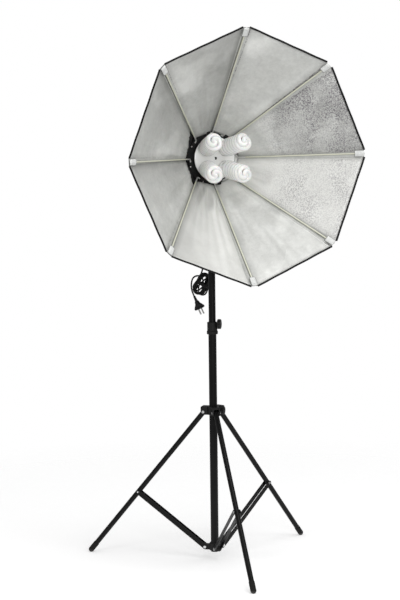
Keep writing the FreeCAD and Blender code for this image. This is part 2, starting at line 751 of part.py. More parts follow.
def rib_points():
    """The rod's hook end, bend and tip for the rib that points along +X."""
    seat = V(rib_seat_radius, 0, rib_seat_z)
    tip_z = mouth_z - rib_tip_inset
    tip = V(rib_seat_radius + cone_slope * (tip_z - rib_seat_z), 0, tip_z)
    hook = seat + hook_axis_out * rib_hook_length
    return hook, seat, tip


hook_end, rib_seat, rib_tip = rib_points()
rib_run = (rib_tip - rib_seat).normalize()


def bent_rod(hook, corner, tip, radius, bend):
    """A straight rod with one tight bend near its end."""
    back = (hook - corner).normalize()
    ahead = (tip - corner).normalize()
    half_turn = (math.pi - back.getAngle(ahead)) / 2
    setback = bend * math.tan(half_turn)
    start = corner + back * setback
    end = corner + ahead * setback
    middle = corner + (back + ahead).normalize() * (bend / math.cos(half_turn) - bend)
    path = Part.Wire([Part.LineSegment(hook, start).toShape(), Part.Arc(start, middle, end).toShape(),
                      Part.LineSegment(end, tip).toShape()])
    circle = Part.Wire(Part.Circle(hook, corner - hook, radius).toShape())
    return path.makePipeShell([circle], True, False)


rib = bent_rod(hook_end, rib_seat, rib_tip, rib_radius, rib_hook_bend)
seat_centre = rib_seat + hook_axis_out * (rib_hook_length * 0.62)
seat_lug = block(seat_centre - V(5.5, seat_block / 2, 0) + V(0, 0, ring_front_z - rib_seat_z - 1),
                 seat_centre + V(5.5, seat_block / 2, rib_radius + 2.6))
seat_lug = seat_lug.cut(rod(rib_seat, hook_end + hook_axis_out * 10, rib_radius + sliding_gap))


def eight(shape):
    """Copies of a shape round the Z axis, one for each corner."""
    copies = []
    for azimuth in rib_azimuths:
        copy = shape.copy()
        copy.rotate(V(0, 0, 0), V(0, 0, 1), azimuth)
        copies.append(copy)
    return copies


rib_ring = joined([ring(ring_radius, housing_radius + seat_gap, ring_thickness,
                        ring_front_z - ring_thickness)]
                  + eight(seat_lug))
rib_ring = rib_ring.cut(Part.makeCylinder(housing_radius + seat_gap, 60, V(0, 0, -50)))
save("rib_ring", [rib_ring], box_frame)
save("softbox_ribs", eight(rib), box_frame)

# ---------------------------------------------------------------- softbox fabric


def outline(radius, blunt, z):
    """An octagon with blunt corners, as its sixteen points."""
    points = []
    for azimuth in rib_azimuths:
        across = polar(blunt / 2, azimuth + 90)
        middle = polar(radius, azimuth, z)
        points += [middle - across, middle + across]
    return points


def wire_of(points):
    return Part.makePolygon(points + [points[0]])


shell_rear_radius = rib_seat_radius + shell_off_rib + cone_slope * (shell_rear_z - rib_seat_z)


def wall_strip(first):
    """One flat strip of the softbox's wall, a gore or a narrow corner strip."""
    ends = []
    for radius, blunt, z in ((shell_rear_radius, blunt_at_rear, shell_rear_z),
                             (mouth_radius, blunt_at_mouth, mouth_z)):
        inner = outline(radius, blunt, z)
        outer = outline(radius + shell_wall, blunt, z)
        second = (first + 1) % 16
        ends.append(wire_of([inner[first], inner[second], outer[second], outer[first]]))
    return Part.makeLoft(ends, True, True)


# the corner strips lie on the ribs, and the gores span from one strip to the next
save("softbox_shell", [wall_strip(i) for i in range(16)], box_frame)

collar_gap = 0.5
collar_radius = shell_rear_radius + shell_wall - 1.0
collar_bottom = collar_rear_z + 5.0
collar = turned([
    (collar_radius, shell_rear_z - collar_gap), (collar_radius - 1.0, collar_bottom),
    (housing_radius + 6.0, collar_rear_z), (housing_radius + 6.0, collar_rear_z + 2.0),
    (collar_radius - 3.4, collar_bottom + 1.6), (collar_radius - 2.2, shell_rear_z - collar_gap),
])
save("rear_collar", [collar], box_frame)

mouth_inner = outline(mouth_radius - 0.5, blunt_at_mouth, mouth_z)
mouth_outer = outline(mouth_radius + shell_wall + piping_proud, blunt_at_mouth, mouth_z)
piping = []
for i in range(8):
    first = 2 * i + 1
    second = (2 * i + 2) % 16
    corners = [mouth_inner[first], mouth_inner[second], mouth_outer[second], mouth_outer[first]]
    piping.append(prism(corners, V(0, 0, piping_height)))
save("rim_piping", piping, box_frame)

pocket_frame = frame_at(rib_tip, rib_run, V(0, 1, 0))
inward = pocket_frame.Rotation.multVec(V(0, 1, 0))
pocket_sign = -1.0 if inward.x > 0 else 1.0
fabric_side = (shell_off_rib / math.sqrt(1 + cone_slope ** 2)) - 0.6
pocket_out = -pocket_sign * fabric_side
pocket_in = pocket_sign * (pocket_depth - fabric_side)
pocket_low, pocket_high = min(pocket_out, pocket_in), max(pocket_out, pocket_in)
pocket_start = 8.0 - pocket_length
pocket = prism([V(-pocket_width / 2, pocket_low, pocket_start), V(pocket_width / 2, pocket_low, pocket_start),
                V(blunt_at_mouth / 2 - 2.5, pocket_low, 8.0), V(-blunt_at_mouth / 2 + 2.5, pocket_low, 8.0)],
               V(0, pocket_high - pocket_low, 0))
pocket = pocket.cut(Part.makeCylinder(rib_radius + sliding_gap, pocket_length, V(0, 0, pocket_start - 2)))
pocket = put(pocket, pocket_frame)
inside_wall = Part.makeLoft([wire_of(outline(r - 0.5, blunt, z)) for r, blunt, z in (
    (shell_rear_radius, blunt_at_rear, shell_rear_z), (mouth_radius, blunt_at_mouth, mouth_z))], True, True)
pocket = pocket.common(inside_wall)
save("corner_pockets", eight(pocket), box_frame)

# ---------------------------------------------------------------- cord, hank and plug

# The lead hangs plumb from the strain relief and ends in a tied hank beside the column. Its
# route is a list of chosen points in millimetres, as (x, y behind the column's axis, z).
lead_route = [
    (0.0, 72.4, 1188.0), (0.2, 79.4, 1178.2), (0.8, 82.6, 1163.0), (0.2, 81.4, 1135.0),
    (-1.2, 80.2, 1085.0), (0.3, 79.6, 1022.0), (-0.9, 80.4, 962.0), (0.2, 79.8, 904.0),
]
tail_route = [
    (-0.5, 66.4, 872.0), (-4.3, 63.8, 890.0), (-18.4, 68.6, 898.5), (-33.0, 74.5, 892.0),
    (-37.6, 76.7, 876.0), (-37.9, 77.1, 860.0), (-35.4, 76.1, 845.5), (-29.8, 73.7, 832.0),
]


def route_points(route):
    return [V(x, column_y + y, z) for x, y, z in route]


lead_points = route_points(lead_route)
lead_points[0] = cord_swing_point
lead_tube, lead_length, lead_radii = swept(lead_points, cord_radius)
lead = joined([lead_tube, Part.makeSphere(cord_radius, cord_swing_point)])

hank_length = 76.0
hank_width = 38.0
hank_thickness = 27.0
hank_lean = 28.8
hank_facing = V(0.389, 0.921, 0)        # the hank lies flat across this direction
hank_side = V(0.921, -0.389, 0)
hank_centre = V(0, column_y, 872.0) + hank_side * -30.0 + hank_facing * 73.0
lean = math.radians(hank_lean)
hank_up = hank_side * math.sin(lean) + V(0, 0, math.cos(lean))
hank_frame = frame_at(hank_centre, hank_up, hank_facing)
hank_straight = (hank_length - hank_width) / 2
hank = joined([
    block(V(-hank_thickness / 2, -hank_width / 2, -hank_straight),
          V(hank_thickness / 2, hank_width / 2, hank_straight)),
    rod(V(-hank_thickness / 2, 0, hank_straight), V(hank_thickness / 2, 0, hank_straight), hank_width / 2),
    rod(V(-hank_thickness / 2, 0, -hank_straight), V(hank_thickness / 2, 0, -hank_straight),
        hank_width / 2),
])
tie_width = 9.0
tie_wall = 1.2
tie = block(V(-hank_thickness / 2 - tie_wall, -hank_width / 2 - tie_wall, -tie_width / 2),
            V(hank_thickness / 2 + tie_wall, hank_width / 2 + tie_wall, tie_width / 2)).cut(
    block(V(-hank_thickness / 2, -hank_width / 2, -tie_width),
          V(hank_thickness / 2, hank_width / 2, tie_width)))
hank = put(hank, hank_frame)
save("cord_hank", [hank])
save("cord_tie", [tie], hank_frame)
save("cord_lead", [lead.cut(hank)])

tail_points = route_points(tail_route)
plug_start = tail_points[-1]
tail_tube, tail_length, tail_radii = swept(tail_points, cord_radius)
save("cord_tail", [max(tail_tube.cut(hank).Solids, key=lambda s: s.Volume)])

plug_run = (tail_points[-1] - tail_points[-2]).normalize()
plug_frame = frame_at(plug_start, plug_run, hank_side)
plug = turned([
    (0, 0), (3.4, 0), (4.6, 16), (7.0, 19), (8.5, 26), (15.5, 36), (17.0, 39), (17.0, 42), (15.0, 43.5),
    (0, 43.5),
])
waist = [block(V(-20, side * 9.5 if side > 0 else -30, 17), V(20, 30 if side > 0 else side * 9.5, 38))
         for side in (-1, 1)]
plug = plug.cut(waist)
plug_face = 43.5
pin_turn = FreeCAD.Placement(V(0, 0, 0), FreeCAD.Rotation(V(0, 0, 1), 58.0))
pins = [
    joined([Part.makeCylinder(plug_pin_radius, plug_pin_length - 1.0,
                              V(side * plug_pin_spacing / 2, 0, plug_face)),
            Part.makeCone(plug_pin_radius, plug_pin_radius - 1.0, 1.0,
                          V(side * plug_pin_spacing / 2, 0, plug_face + plug_pin_length - 1.0))])
    for side in (-1, 1)
]
save("plug_body", [plug], plug_frame)
save("plug_pins", pins, plug_frame.multiply(pin_turn))

print("leg angle %.2f, length %.1f; brace angle %.2f, length %.1f; fold travel %.2f"
      % (leg_angle, leg_length, brace_angle, brace_length, fold_travel))
print("lead length %.0f, tail length %.0f" % (lead_length, tail_length))
print("lead radii", [round(r, 1) for r in lead_radii], "tail radii", [round(r, 1) for r in tail_radii])
area = math.pi * cord_radius ** 2
print("tube volume over section times length: %.4f %.4f"
      % (lead_tube.Volume / (area * lead_length), tail_tube.Volume / (area * tail_length)))
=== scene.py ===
import json
import math
import bmesh
import bpy
import numpy as np
from mathutils import Matrix, Vector


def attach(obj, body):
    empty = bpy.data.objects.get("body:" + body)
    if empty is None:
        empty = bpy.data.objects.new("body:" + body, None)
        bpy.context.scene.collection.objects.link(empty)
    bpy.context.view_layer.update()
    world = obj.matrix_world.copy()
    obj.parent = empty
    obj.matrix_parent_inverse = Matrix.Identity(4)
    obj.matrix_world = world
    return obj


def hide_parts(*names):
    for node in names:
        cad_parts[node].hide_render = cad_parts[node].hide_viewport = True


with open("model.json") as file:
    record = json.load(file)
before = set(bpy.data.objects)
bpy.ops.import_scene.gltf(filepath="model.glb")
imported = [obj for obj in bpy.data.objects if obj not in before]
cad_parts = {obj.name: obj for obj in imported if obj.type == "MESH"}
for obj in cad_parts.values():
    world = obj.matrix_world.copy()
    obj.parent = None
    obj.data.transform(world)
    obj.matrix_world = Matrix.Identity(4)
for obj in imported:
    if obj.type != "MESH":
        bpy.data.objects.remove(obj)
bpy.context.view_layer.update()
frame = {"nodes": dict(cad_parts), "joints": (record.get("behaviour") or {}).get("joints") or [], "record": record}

# ---------------------------------------------------------------- column tubes, legs and braces
# The stand is thin-walled steel tube and flat steel bar, powder coated satin black after it is
# cut and drilled. The coat has a fine orange peel and is faintly rubbed in streaks along the tubes.


class Shade:
    """A socket in a finish's node tree; sums written on it add the Math nodes."""

    def __init__(self, tree, socket=None):
        self.tree, self.socket = tree, socket

    def node(self, kind, settings, sockets, out=0):
        made = self.tree.nodes.new(kind)
        for key, value in settings.items():
            setattr(made, key, value)
        for key, value in sockets.items():
            if isinstance(value, Shade):
                self.tree.links.new(value.socket, made.inputs[key])
            else:
                made.inputs[key].default_value = value
        return Shade(self.tree, made.outputs[out])

    def maths(self, operation, *values):
        return self.node("ShaderNodeMath", {"operation": operation}, dict(enumerate(values)))

    def __add__(self, other):
        return self.maths("ADD", self, other)

    def __radd__(self, other):
        return self.maths("ADD", other, self)

    def __sub__(self, other):
        return self.maths("SUBTRACT", self, other)

    def __rsub__(self, other):
        return self.maths("SUBTRACT", other, self)

    def __mul__(self, other):
        return self.maths("MULTIPLY", self, other)

    def __rmul__(self, other):
        return self.maths("MULTIPLY", other, self)

    def __truediv__(self, other):
        return self.maths("DIVIDE", self, other)

    def __rtruediv__(self, other):
        return self.maths("DIVIDE", other, self)

    def __pow__(self, other):
        return self.maths("POWER", self, other)

    def __gt__(self, other):
        return self.maths("GREATER_THAN", self, other)

    def __lt__(self, other):
        return self.maths("LESS_THAN", self, other)

    def clear(self):
        return self.node("ShaderNodeClamp", {}, {0: self})

    def sine(self):
        return self.maths("SINE", self)

    def size(self):
        return self.maths("ABSOLUTE", self)

    def rest(self):
        return self.maths("FRACT", self)

    def stretched(self, x, y, z):
        return self.node("ShaderNodeVectorMath", {"operation": "MULTIPLY"}, {0: self, 1: (x, y, z)})

    def noise(self, scale, detail=3.0, roughness=0.5):
        return self.node("ShaderNodeTexNoise", {},
                         {"Vector": self, "Scale": scale, "Detail": detail, "Roughness": roughness})

    def cells(self, scale):
        return self.node("ShaderNodeTexVoronoi", {}, {"Vector": self, "Scale": scale})

    def axis(self, name):
        return self.node("ShaderNodeSeparateXYZ", {}, {0: self}, name)

    def between(self, dark, light):
        """This number picks a colour between two others."""
        return self.node("ShaderNodeMix", {"data_type": "RGBA"}, {0: self, 6: dark, 7: light}, 2)

    def relief(self, depth, strength=1.0):
        """This number is a height, in metres once it is multiplied by depth."""
        return self.node("ShaderNodeBump", {}, {"Height": self, "Distance": depth, "Strength": strength})


class Finish:
    """A material with one Principled shader, and the coordinates its patterns read."""

    def __init__(self, name, **fixed):
        self.material = bpy.data.materials.new(name)
        self.material.use_nodes = True
        self.shader = self.material.node_tree.nodes["Principled BSDF"]
        self.at = Shade(self.material.node_tree)
        self.place = self.at.node("ShaderNodeTexCoord", {}, {}, "Object")
        for key, value in fixed.items():
            self.shader.inputs[key.replace("_", " ")].default_value = value

    def uses(self, **varied):
        for key, value in varied.items():
            self.material.node_tree.links.new(value.socket, self.shader.inputs[key.replace("_", " ")])
        return self

    def on(self, *names):
        """Dresses CAD nodes in this finish."""
        for name in names:
            frame["nodes"][name].data.materials.clear()
            frame["nodes"][name].data.materials.append(self.material)


def grey(level, warm=0.0):
    return (level * (1 + warm), level, level * (1 - warm), 1.0)


def powder_coat(name, rub_direction):
    """Satin black powder coat; rub_direction squeezes the rubbed marks along a tube."""
    coat = Finish(name, Metallic=0.0, Coat_Weight=0.03, Coat_Roughness=0.2, Specular_IOR_Level=0.14)
    cloud = coat.place.noise(9.0, 4.0)
    rub = (coat.place.stretched(*rub_direction).noise(60.0, 5.0, 0.65) - 0.52).clear() * 2.6
    return coat.uses(
        Base_Color=(cloud * 0.6 + rub * 0.5).clear().between(grey(0.002), grey(0.008)),
        Roughness=0.24 + cloud * 0.12 + rub * 0.14,
        Normal=coat.place.noise(1100.0, 2.0).relief(0.00006, 0.5),
    )


powder_coat("column_powder_coat", (1.0, 1.0, 0.05)).on("lower_tube", "middle_tube", "top_tube")
powder_coat("leg_powder_coat", (0.5, 0.5, 0.2)).on(
    "leg_a", "leg_b", "leg_c", "brace_a", "brace_b", "brace_c")

# ---------------------------------------------------------------- crown, spider, clamps and knobs
# Glass-filled nylon mouldings, pushed or screwed on to the tubes. Their faces have a fine spark
# eroded grain, which is smoother on the knobs, where hands have polished it.


def moulded(name, level, grain=0.00005):
    plastic = Finish(name, Specular_IOR_Level=0.2)
    cloud = plastic.place.noise(38.0, 3.0)
    speck = plastic.place.noise(1500.0, 2.0, 0.6)
    return plastic.uses(
        Base_Color=(cloud * 0.7 + speck * 0.3).clear().between(grey(level * 0.7), grey(level * 1.5, 0.02)),
        Roughness=0.36 + cloud * 0.16 + speck * 0.08,
        Normal=(speck + cloud * 0.4).relief(grain, 0.8),
    )


moulded("crown_nylon", 0.007).on("leg_crown", "base_spider", "tube_end_plug")
moulded("clamp_nylon", 0.007).on("lower_clamp", "upper_clamp")
moulded("knob_nylon", 0.008, 0.00003).on(
    "lower_clamp_knob", "upper_clamp_knob", "crown_knob", "receiver_knob", "tilt_knob")

# ---------------------------------------------------------------- rivets of the folding tripod
# Zinc-plated steel rivets hold legs and braces. The ones at the outer ends of the braces ride on
# the bars and have a low domed head on each side.

zinc = Finish("zinc_plate", Metallic=1.0, Specular_IOR_Level=0.5)
zinc_cloud = zinc.place.noise(240.0, 4.0)
zinc.uses(
    Base_Color=zinc_cloud.between((0.52, 0.53, 0.55, 1), (0.82, 0.82, 0.8, 1)),
    Roughness=0.22 + zinc_cloud * 0.2,
    Normal=zinc.place.noise(900.0, 2.0).relief(0.00004, 0.4),
)
zinc.on("leg_pins", "brace_pins", "tilt_bolt")

joint_named = {joint["name"]: joint for joint in frame["joints"]}
mount_named = {mount["name"]: mount for mount in frame["record"]["mounts"]}


class Recipe:
    """A Geometry Nodes tree with named inputs, and what it makes of a mesh."""

    def __init__(self, name, **inputs):
        self.tree = bpy.data.node_groups.new(name, "GeometryNodeTree")
        face = self.tree.interface
        face.new_socket("Geometry", in_out="INPUT", socket_type="NodeSocketGeometry")
        self.names = {}
        for key, value in inputs.items():
            kind = {float: "NodeSocketFloat", int: "NodeSocketInt"}.get(type(value), "NodeSocketMaterial")
            made = face.new_socket(key.replace("_", " "), in_out="INPUT", socket_type=kind)
            made.default_value = value
            self.names[key] = made.identifier
        face.new_socket("Geometry", in_out="OUTPUT", socket_type="NodeSocketGeometry")
        self.entry = self.node("NodeGroupInput")
        self.exit = self.node("NodeGroupOutput")

    def node(self, kind, settings=None, **links):
        made = self.tree.nodes.new(kind)
        for key, value in (settings or {}).items():
            setattr(made, key, value)
        for key, value in links.items():
            socket = made.inputs[int(key[1:])] if key[0] == "_" else made.inputs[key.replace("_", " ")]
            if isinstance(value, bpy.types.NodeSocket):
                self.tree.links.new(value, socket)
            else:
                socket.default_value = value
        return made

    def ends_with(self, geometry, material):
        real = self.node("GeometryNodeRealizeInstances", None, Geometry=geometry)
        dressed = self.node("GeometryNodeSetMaterial", None, Geometry=real.outputs[0], Material=material)
        self.tree.links.new(dressed.outputs[0], self.exit.inputs[0])

    def made_from(self, name, points, edges, body, slot, pin=None, **values):
        """Runs the tree on points and edges, which may all face along pin, and keeps a plain mesh."""
        seed = bpy.data.meshes.new(name + "_path")
        seed.from_pydata([tuple(p) for p in points], edges, [])
        if pin:
            facing = seed.attributes.new("pin", "FLOAT_VECTOR", "POINT")
            facing.data.foreach_set("vector", list(pin) * len(points))
        piece = bpy.data.objects.new(name + "_path", seed)
        bpy.context.scene.collection.objects.link(piece)
        run = piece.modifiers.new("recipe", "NODES")
        run.node_group = self.tree
        for key, value in values.items():
            run[self.names[key]] = value
        look = bpy.context.evaluated_depsgraph_get()
        mesh = bpy.data.meshes.new_from_object(piece.evaluated_get(look))
        bpy.data.objects.remove(piece)
        mesh.name = name
        return placed(name, mesh, body, slot)


def placed(name, mesh, body, slot, *stands_for):
    """Puts a finished mesh on its CAD body, in place of the CAD nodes it stands for."""
    piece = bpy.data.objects.new(name, mesh)
    bpy.context.scene.collection.objects.link(piece)
    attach(piece, body)
    if stands_for:
        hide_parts(*stands_for)
    return piece


rivets = Recipe("rivet_heads", Head_radius=0.0048, Head_height=0.0019, Finish=zinc.material)
ball = rivets.node("GeometryNodeMeshUVSphere", None, Segments=24, Rings=12)
shape = rivets.node("ShaderNodeCombineXYZ", None, X=rivets.entry.outputs["Head radius"],
                    Y=rivets.entry.outputs["Head radius"], Z=rivets.entry.outputs["Head height"])
head = rivets.node("GeometryNodeTransform", None, Geometry=ball.outputs[0], Scale=shape.outputs[0])
along_pin = rivets.node("GeometryNodeInputNamedAttribute", {"data_type": "FLOAT_VECTOR"}, Name="pin")
facing = rivets.node("FunctionNodeAlignRotationToVector", {"axis": "Z"}, Vector=along_pin.outputs[0])
heads = rivets.node("GeometryNodeInstanceOnPoints", None, Points=rivets.entry.outputs[0],
                    Instance=head.outputs[0], Rotation=facing.outputs[0])
smooth = rivets.node("GeometryNodeSetShadeSmooth", None, Geometry=heads.outputs[0])
rivets.ends_with(smooth.outputs[0], rivets.entry.outputs["Finish"])

brace_reach = 0.345            # along the leg, from its top pin
bar_face = 0.0104              # the outer face of a brace bar, from the middle of the leg
foot_middle = Vector((0, 0, 0.0085))
for name in ("a", "b", "c"):
    hinge = joint_named["leg_%s_hinge" % name]
    top = Vector(hinge["pos_m"])
    foot = Vector(mount_named["foot_" + name]["pos_m"]) + foot_middle
    across = Vector(hinge["axis"])
    joint_at = top + (foot - top).normalized() * brace_reach
    spots = [joint_at + across * side * bar_face for side in (-1, 1)]
    rivets.made_from("brace_%s_rivets" % name, spots, [], "brace_" + name, "zinc_steel", across,
                     Finish=zinc.material)

# ---------------------------------------------------------------- rubber feet and strain relief
# Soft black rubber: caps pushed over the leg ends, and a sleeve where the cord leaves the
# housing. The undersides of the caps are scuffed pale by the floor.

rubber = Finish("foot_rubber", Specular_IOR_Level=0.18)
rubber_cloud = rubber.place.noise(160.0, 4.0)
low = (1 - rubber.place.axis("Z") / 0.011).clear()
rubber.uses(
    Base_Color=(low * rubber_cloud + rubber_cloud * 0.05).clear().between(
        grey(0.006), (0.12, 0.115, 0.11, 1)),
    Roughness=0.62 + rubber_cloud * 0.25,
    Normal=rubber.place.noise(1300.0, 3.0).relief(0.00008, 0.6),
)
rubber.on("foot_cap_a", "foot_cap_b", "foot_cap_c", "strain_relief")

# ---------------------------------------------------------------- spigot, receiver and tilt bracket
# The spigot is turned brass with a bright nickel plate. The receiver and the bracket are zinc
# die castings, painted black with a slightly pebbled paint.

nickel = Finish("nickel_plate", Metallic=1.0)
turning = (nickel.place.axis("Z") * 5200.0).sine() * 0.5 + 0.5
nickel.uses(
    Base_Color=nickel.place.noise(60.0).between((0.66, 0.62, 0.54, 1), (0.8, 0.77, 0.7, 1)),
    Roughness=0.16 + nickel.place.noise(300.0, 4.0) * 0.16,
    Normal=turning.relief(0.00001, 0.35),
)
nickel.on("spigot", "socket_contacts")

casting = Finish("black_casting", Coat_Weight=0.05, Coat_Roughness=0.3, Specular_IOR_Level=0.2)
pebble = casting.place.cells(700.0)
casting.uses(
    Base_Color=casting.place.noise(45.0).between(grey(0.004), grey(0.012)),
    Roughness=0.38 + casting.place.noise(200.0) * 0.2,
    Normal=pebble.relief(0.00008, 0.5),
)
casting.on("spigot_receiver", "tilt_bracket")

# ---------------------------------------------------------------- lamp housing, rib ring and switches
# Flame-retardant black plastic in a heavier grain than the stand's parts; the rockers are
# smoother and catch the light. The ring with the rib seats is moulded in the same plastic.

moulded("housing_plastic", 0.007, 0.00009).on("lamp_housing", "rib_ring")
rocker = Finish("rocker_plastic", Coat_Weight=0.15, Coat_Roughness=0.12, Specular_IOR_Level=0.3)
rocker.uses(
    Base_Color=rocker.place.noise(90.0).between(grey(0.01), grey(0.02)),
    Roughness=0.24 + rocker.place.noise(400.0, 3.0) * 0.1,
    Normal=rocker.place.noise(700.0).relief(0.00002, 0.3),
)
rocker.on("switch_left", "switch_right")

# ---------------------------------------------------------------- socket plate, sockets and bulb bases
# The domed plate in the middle and the bulbs' ballast housings are glossy white plastic with a
# slightly warm tone. The sockets are glazed white, the screw caps bare aluminium.

gloss_white = Finish("gloss_white_plastic", Coat_Weight=0.6, Coat_Roughness=0.06, Specular_IOR_Level=0.5)
white_cloud = gloss_white.place.noise(30.0, 3.0)
gloss_white.uses(
    Base_Color=white_cloud.between((0.92, 0.92, 0.9, 1), (0.96, 0.96, 0.945, 1)),
    Roughness=0.16 + gloss_white.place.noise(500.0, 3.0) * 0.1,
    Normal=gloss_white.place.noise(70.0, 2.0).relief(0.00012, 0.35),
)
gloss_white.on("socket_plate", "bulb_1_ballast", "bulb_2_ballast", "bulb_3_ballast", "bulb_4_ballast")
glazed = Finish("socket_glaze", Coat_Weight=0.8, Coat_Roughness=0.1)
glazed.uses(
    Base_Color=glazed.place.noise(50.0).between((0.78, 0.77, 0.72, 1), (0.86, 0.85, 0.81, 1)),
    Roughness=0.25 + glazed.place.noise(300.0) * 0.15,
    Normal=glazed.place.noise(200.0).relief(0.0001, 0.3),
)
glazed.on("lamp_sockets")
bare_cap = Finish("cap_aluminium", Metallic=1.0)
bare_cap.uses(
    Base_Color=bare_cap.place.noise(120.0).between((0.6, 0.61, 0.62, 1), (0.78, 0.78, 0.77, 1)),
    Roughness=0.28 + bare_cap.place.noise(500.0, 3.0) * 0.18,
    Normal=((bare_cap.place.axis("Y") * 1900.0).sine()).relief(0.0003, 0.5),
)
bare_cap.on("bulb_1_cap", "bulb_2_cap", "bulb_3_cap", "bulb_4_cap")

# ---------------------------------------------------------------- spiral tubes of the bulbs
# Each lamp is one 15 mm glass tube, coated white inside, wound as a double spiral: up nearly
# three and a half turns, in to the middle of the top and down between the first turns.

phosphor = Finish("phosphor_glass", Coat_Weight=1.0, Coat_Roughness=0.03, Specular_IOR_Level=0.6,
                  Subsurface_Weight=0.15, Subsurface_Scale=0.004)
powder = phosphor.place.noise(160.0, 3.0)
phosphor.uses(
    Base_Color=powder.between((0.9, 0.905, 0.885, 1), (0.95, 0.95, 0.935, 1)),
    Roughness=0.1 + powder * 0.1,
    Normal=phosphor.place.noise(90.0).relief(0.0001, 0.2),
)
tubes = Recipe("glass_spiral", Tube_radius=0.0073, Facets=16, Glass=phosphor.material)
spine = tubes.node("GeometryNodeMeshToCurve", None, Mesh=tubes.entry.outputs[0])
bore = tubes.node("GeometryNodeCurvePrimitiveCircle", None, Resolution=tubes.entry.outputs["Facets"],
                  Radius=tubes.entry.outputs["Tube radius"])
drawn = tubes.node("GeometryNodeCurveToMesh", None, Curve=spine.outputs[0], Profile_Curve=bore.outputs[0],
                   Fill_Caps=True)
polished = tubes.node("GeometryNodeSetShadeSmooth", None, Geometry=drawn.outputs[0])
tubes.ends_with(polished.outputs[0], tubes.entry.outputs["Glass"])

coil_radius = 0.0206
coil_foot, coil_top = 0.0262, 0.1178
coil_turns = 3.4
steps_per_turn = 30
swirl, rise = 3.5, 0.0055      # how far the tube winds inwards and climbs over the top
over_steps = 18


def spiral_spine(seat, run):
    """The tube's middle line, for a bulb standing at seat and pointing along run."""
    side = run.cross(Vector((0, 0, 1))).normalized()
    other = run.cross(side)
    climb = []
    steps = int(coil_turns * steps_per_turn)
    for i in range(steps + 1):
        share = i / steps
        angle = 2 * math.pi * coil_turns * share
        climb.append((coil_radius, angle, coil_foot + (coil_top - coil_foot) * share ** 0.97))
    inward = [(coil_radius * (1 - k / over_steps) ** 0.9, climb[-1][1] + swirl * k / over_steps,
               coil_top + rise * math.sin(math.pi * k / (2 * over_steps))) for k in range(1, over_steps)]
    over = inward + [(0.0, inward[-1][1], coil_top + rise)] + [
        (-radius, angle, height) for radius, angle, height in reversed(inward)]
    down = [(-radius, angle, height) for radius, angle, height in reversed(climb)]
    start = [(coil_radius * 0.7, -0.75, 0.012), (coil_radius * 0.86, -0.4, 0.0185)]
    end = [(-radius, angle, height) for radius, angle, height in reversed(start)]
    return [seat + side * radius * math.cos(angle) + other * radius * math.sin(angle) + run * height
            for radius, angle, height in start + climb + over + down + end]


for number in (1, 2, 3, 4):
    turn = joint_named["bulb_%d_turn" % number]
    spine_points = spiral_spine(Vector(turn["pos_m"]), Vector(turn["axis"]))
    links = [(i, i + 1) for i in range(len(spine_points) - 1)]
    spiral = tubes.made_from("bulb_%d_glass" % number, spine_points, links, "bulb_%d" % number,
                             "phosphor_glass", Glass=phosphor.material)
    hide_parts("bulb_%d_spiral" % number)

# ---------------------------------------------------------------- ribs
# Eight sprung rods of pale resin over glass fibre. Each has a bright steel hook at its inner
# end, which drops into a seat in the ring.

hub = Vector((0.0, 0.048, 1.2655))     # where the softbox's axis meets the rim of the socket plate
ribs = Finish("rib_rod", Coat_Weight=0.4, Coat_Roughness=0.15)
off_axis_x = ribs.place.axis("X")
off_axis_z = ribs.place.axis("Z") - hub.z
from_axis = (off_axis_x * off_axis_x + off_axis_z * off_axis_z) ** 0.5
hook = 1 - (from_axis > 0.098)
streaks = ribs.place.noise(420.0, 3.0)
resin = streaks.between((0.56, 0.57, 0.45, 1), (0.74, 0.74, 0.62, 1))
ribs.uses(
    Base_Color=hook.between(resin, (0.7, 0.7, 0.68, 1)),
    Metallic=hook * 0.4,
    Roughness=0.3 + streaks * 0.12,
    Normal=ribs.place.noise(1200.0, 2.0).relief(0.00003, 0.4),
)
ribs.on("softbox_ribs")

# ---------------------------------------------------------------- softbox fabric
# Eight gores of thin nylon, sewn edge to edge over the ribs: black outside, lined with a silver
# foil cloth inside. The lining is cut short on the left of the hub and is slightly fuller than
# the cover, so it pulls into soft folds from the hub and along the ribs.

roll = math.radians(1.4)
mouth_depth, rear_depth = 0.268, 0.004
corner_mouth = 0.375
seat_radius, seat_depth = 0.082, -0.008      # where the corner lines leave the rib ring
slope = (corner_mouth - seat_radius) / (mouth_depth - seat_depth)
corner_rear = seat_radius + slope * (rear_depth - seat_depth)
blunt_mouth, blunt_rear = 0.022, 0.006
gore_steps, gore_rows, blunt_steps = 34, 46, 2
cloth_step, cloth_long = 0.14, 0.38     # the cloth's own coordinates, a corner round and to the mouth
folds = np.random.default_rng(11)


def in_box(across, up, out):
    """A point in the softbox's own frame (out of the mouth is +out), in the row frame."""
    c, s = math.cos(roll), math.sin(roll)
    return Vector((across * c - up * s, hub.y - out, hub.z + across * s + up * c))


def wall_point(step, share):
    """A point on the flat wall: step counts round the sixteen corners, share runs to the mouth."""
    radius = corner_rear + (corner_mouth - corner_rear) * share
    half = (blunt_rear + (blunt_mouth - blunt_rear) * share) / 2
    corner, inside = divmod(step, 1.0)
    ends = []
    for k in (int(corner) % 16, (int(corner) + 1) % 16):
        azimuth = math.radians(45.0 * (k // 2))
        offset = half if k % 2 else -half
        ends.append((radius * math.cos(azimuth) - offset * math.sin(azimuth),
                     radius * math.sin(azimuth) + offset * math.cos(azimuth)))
    (ax, ay), (bx, by) = ends
    return ax + (bx - ax) * inside, ay + (by - ay) * inside


waves = [(folds.uniform(2, 9), folds.uniform(-1.2, 1.2), folds.uniform(0, 6.28), folds.uniform(0.4, 1.0))
         for _ in range(8 * 7)]
# how strongly each gore is folded, from the one above the level right-hand rib, anticlockwise
gore_fullness = (0.55, 0.75, 1.0, 1.0, 1.25, 1.5, 1.1, 0.6)
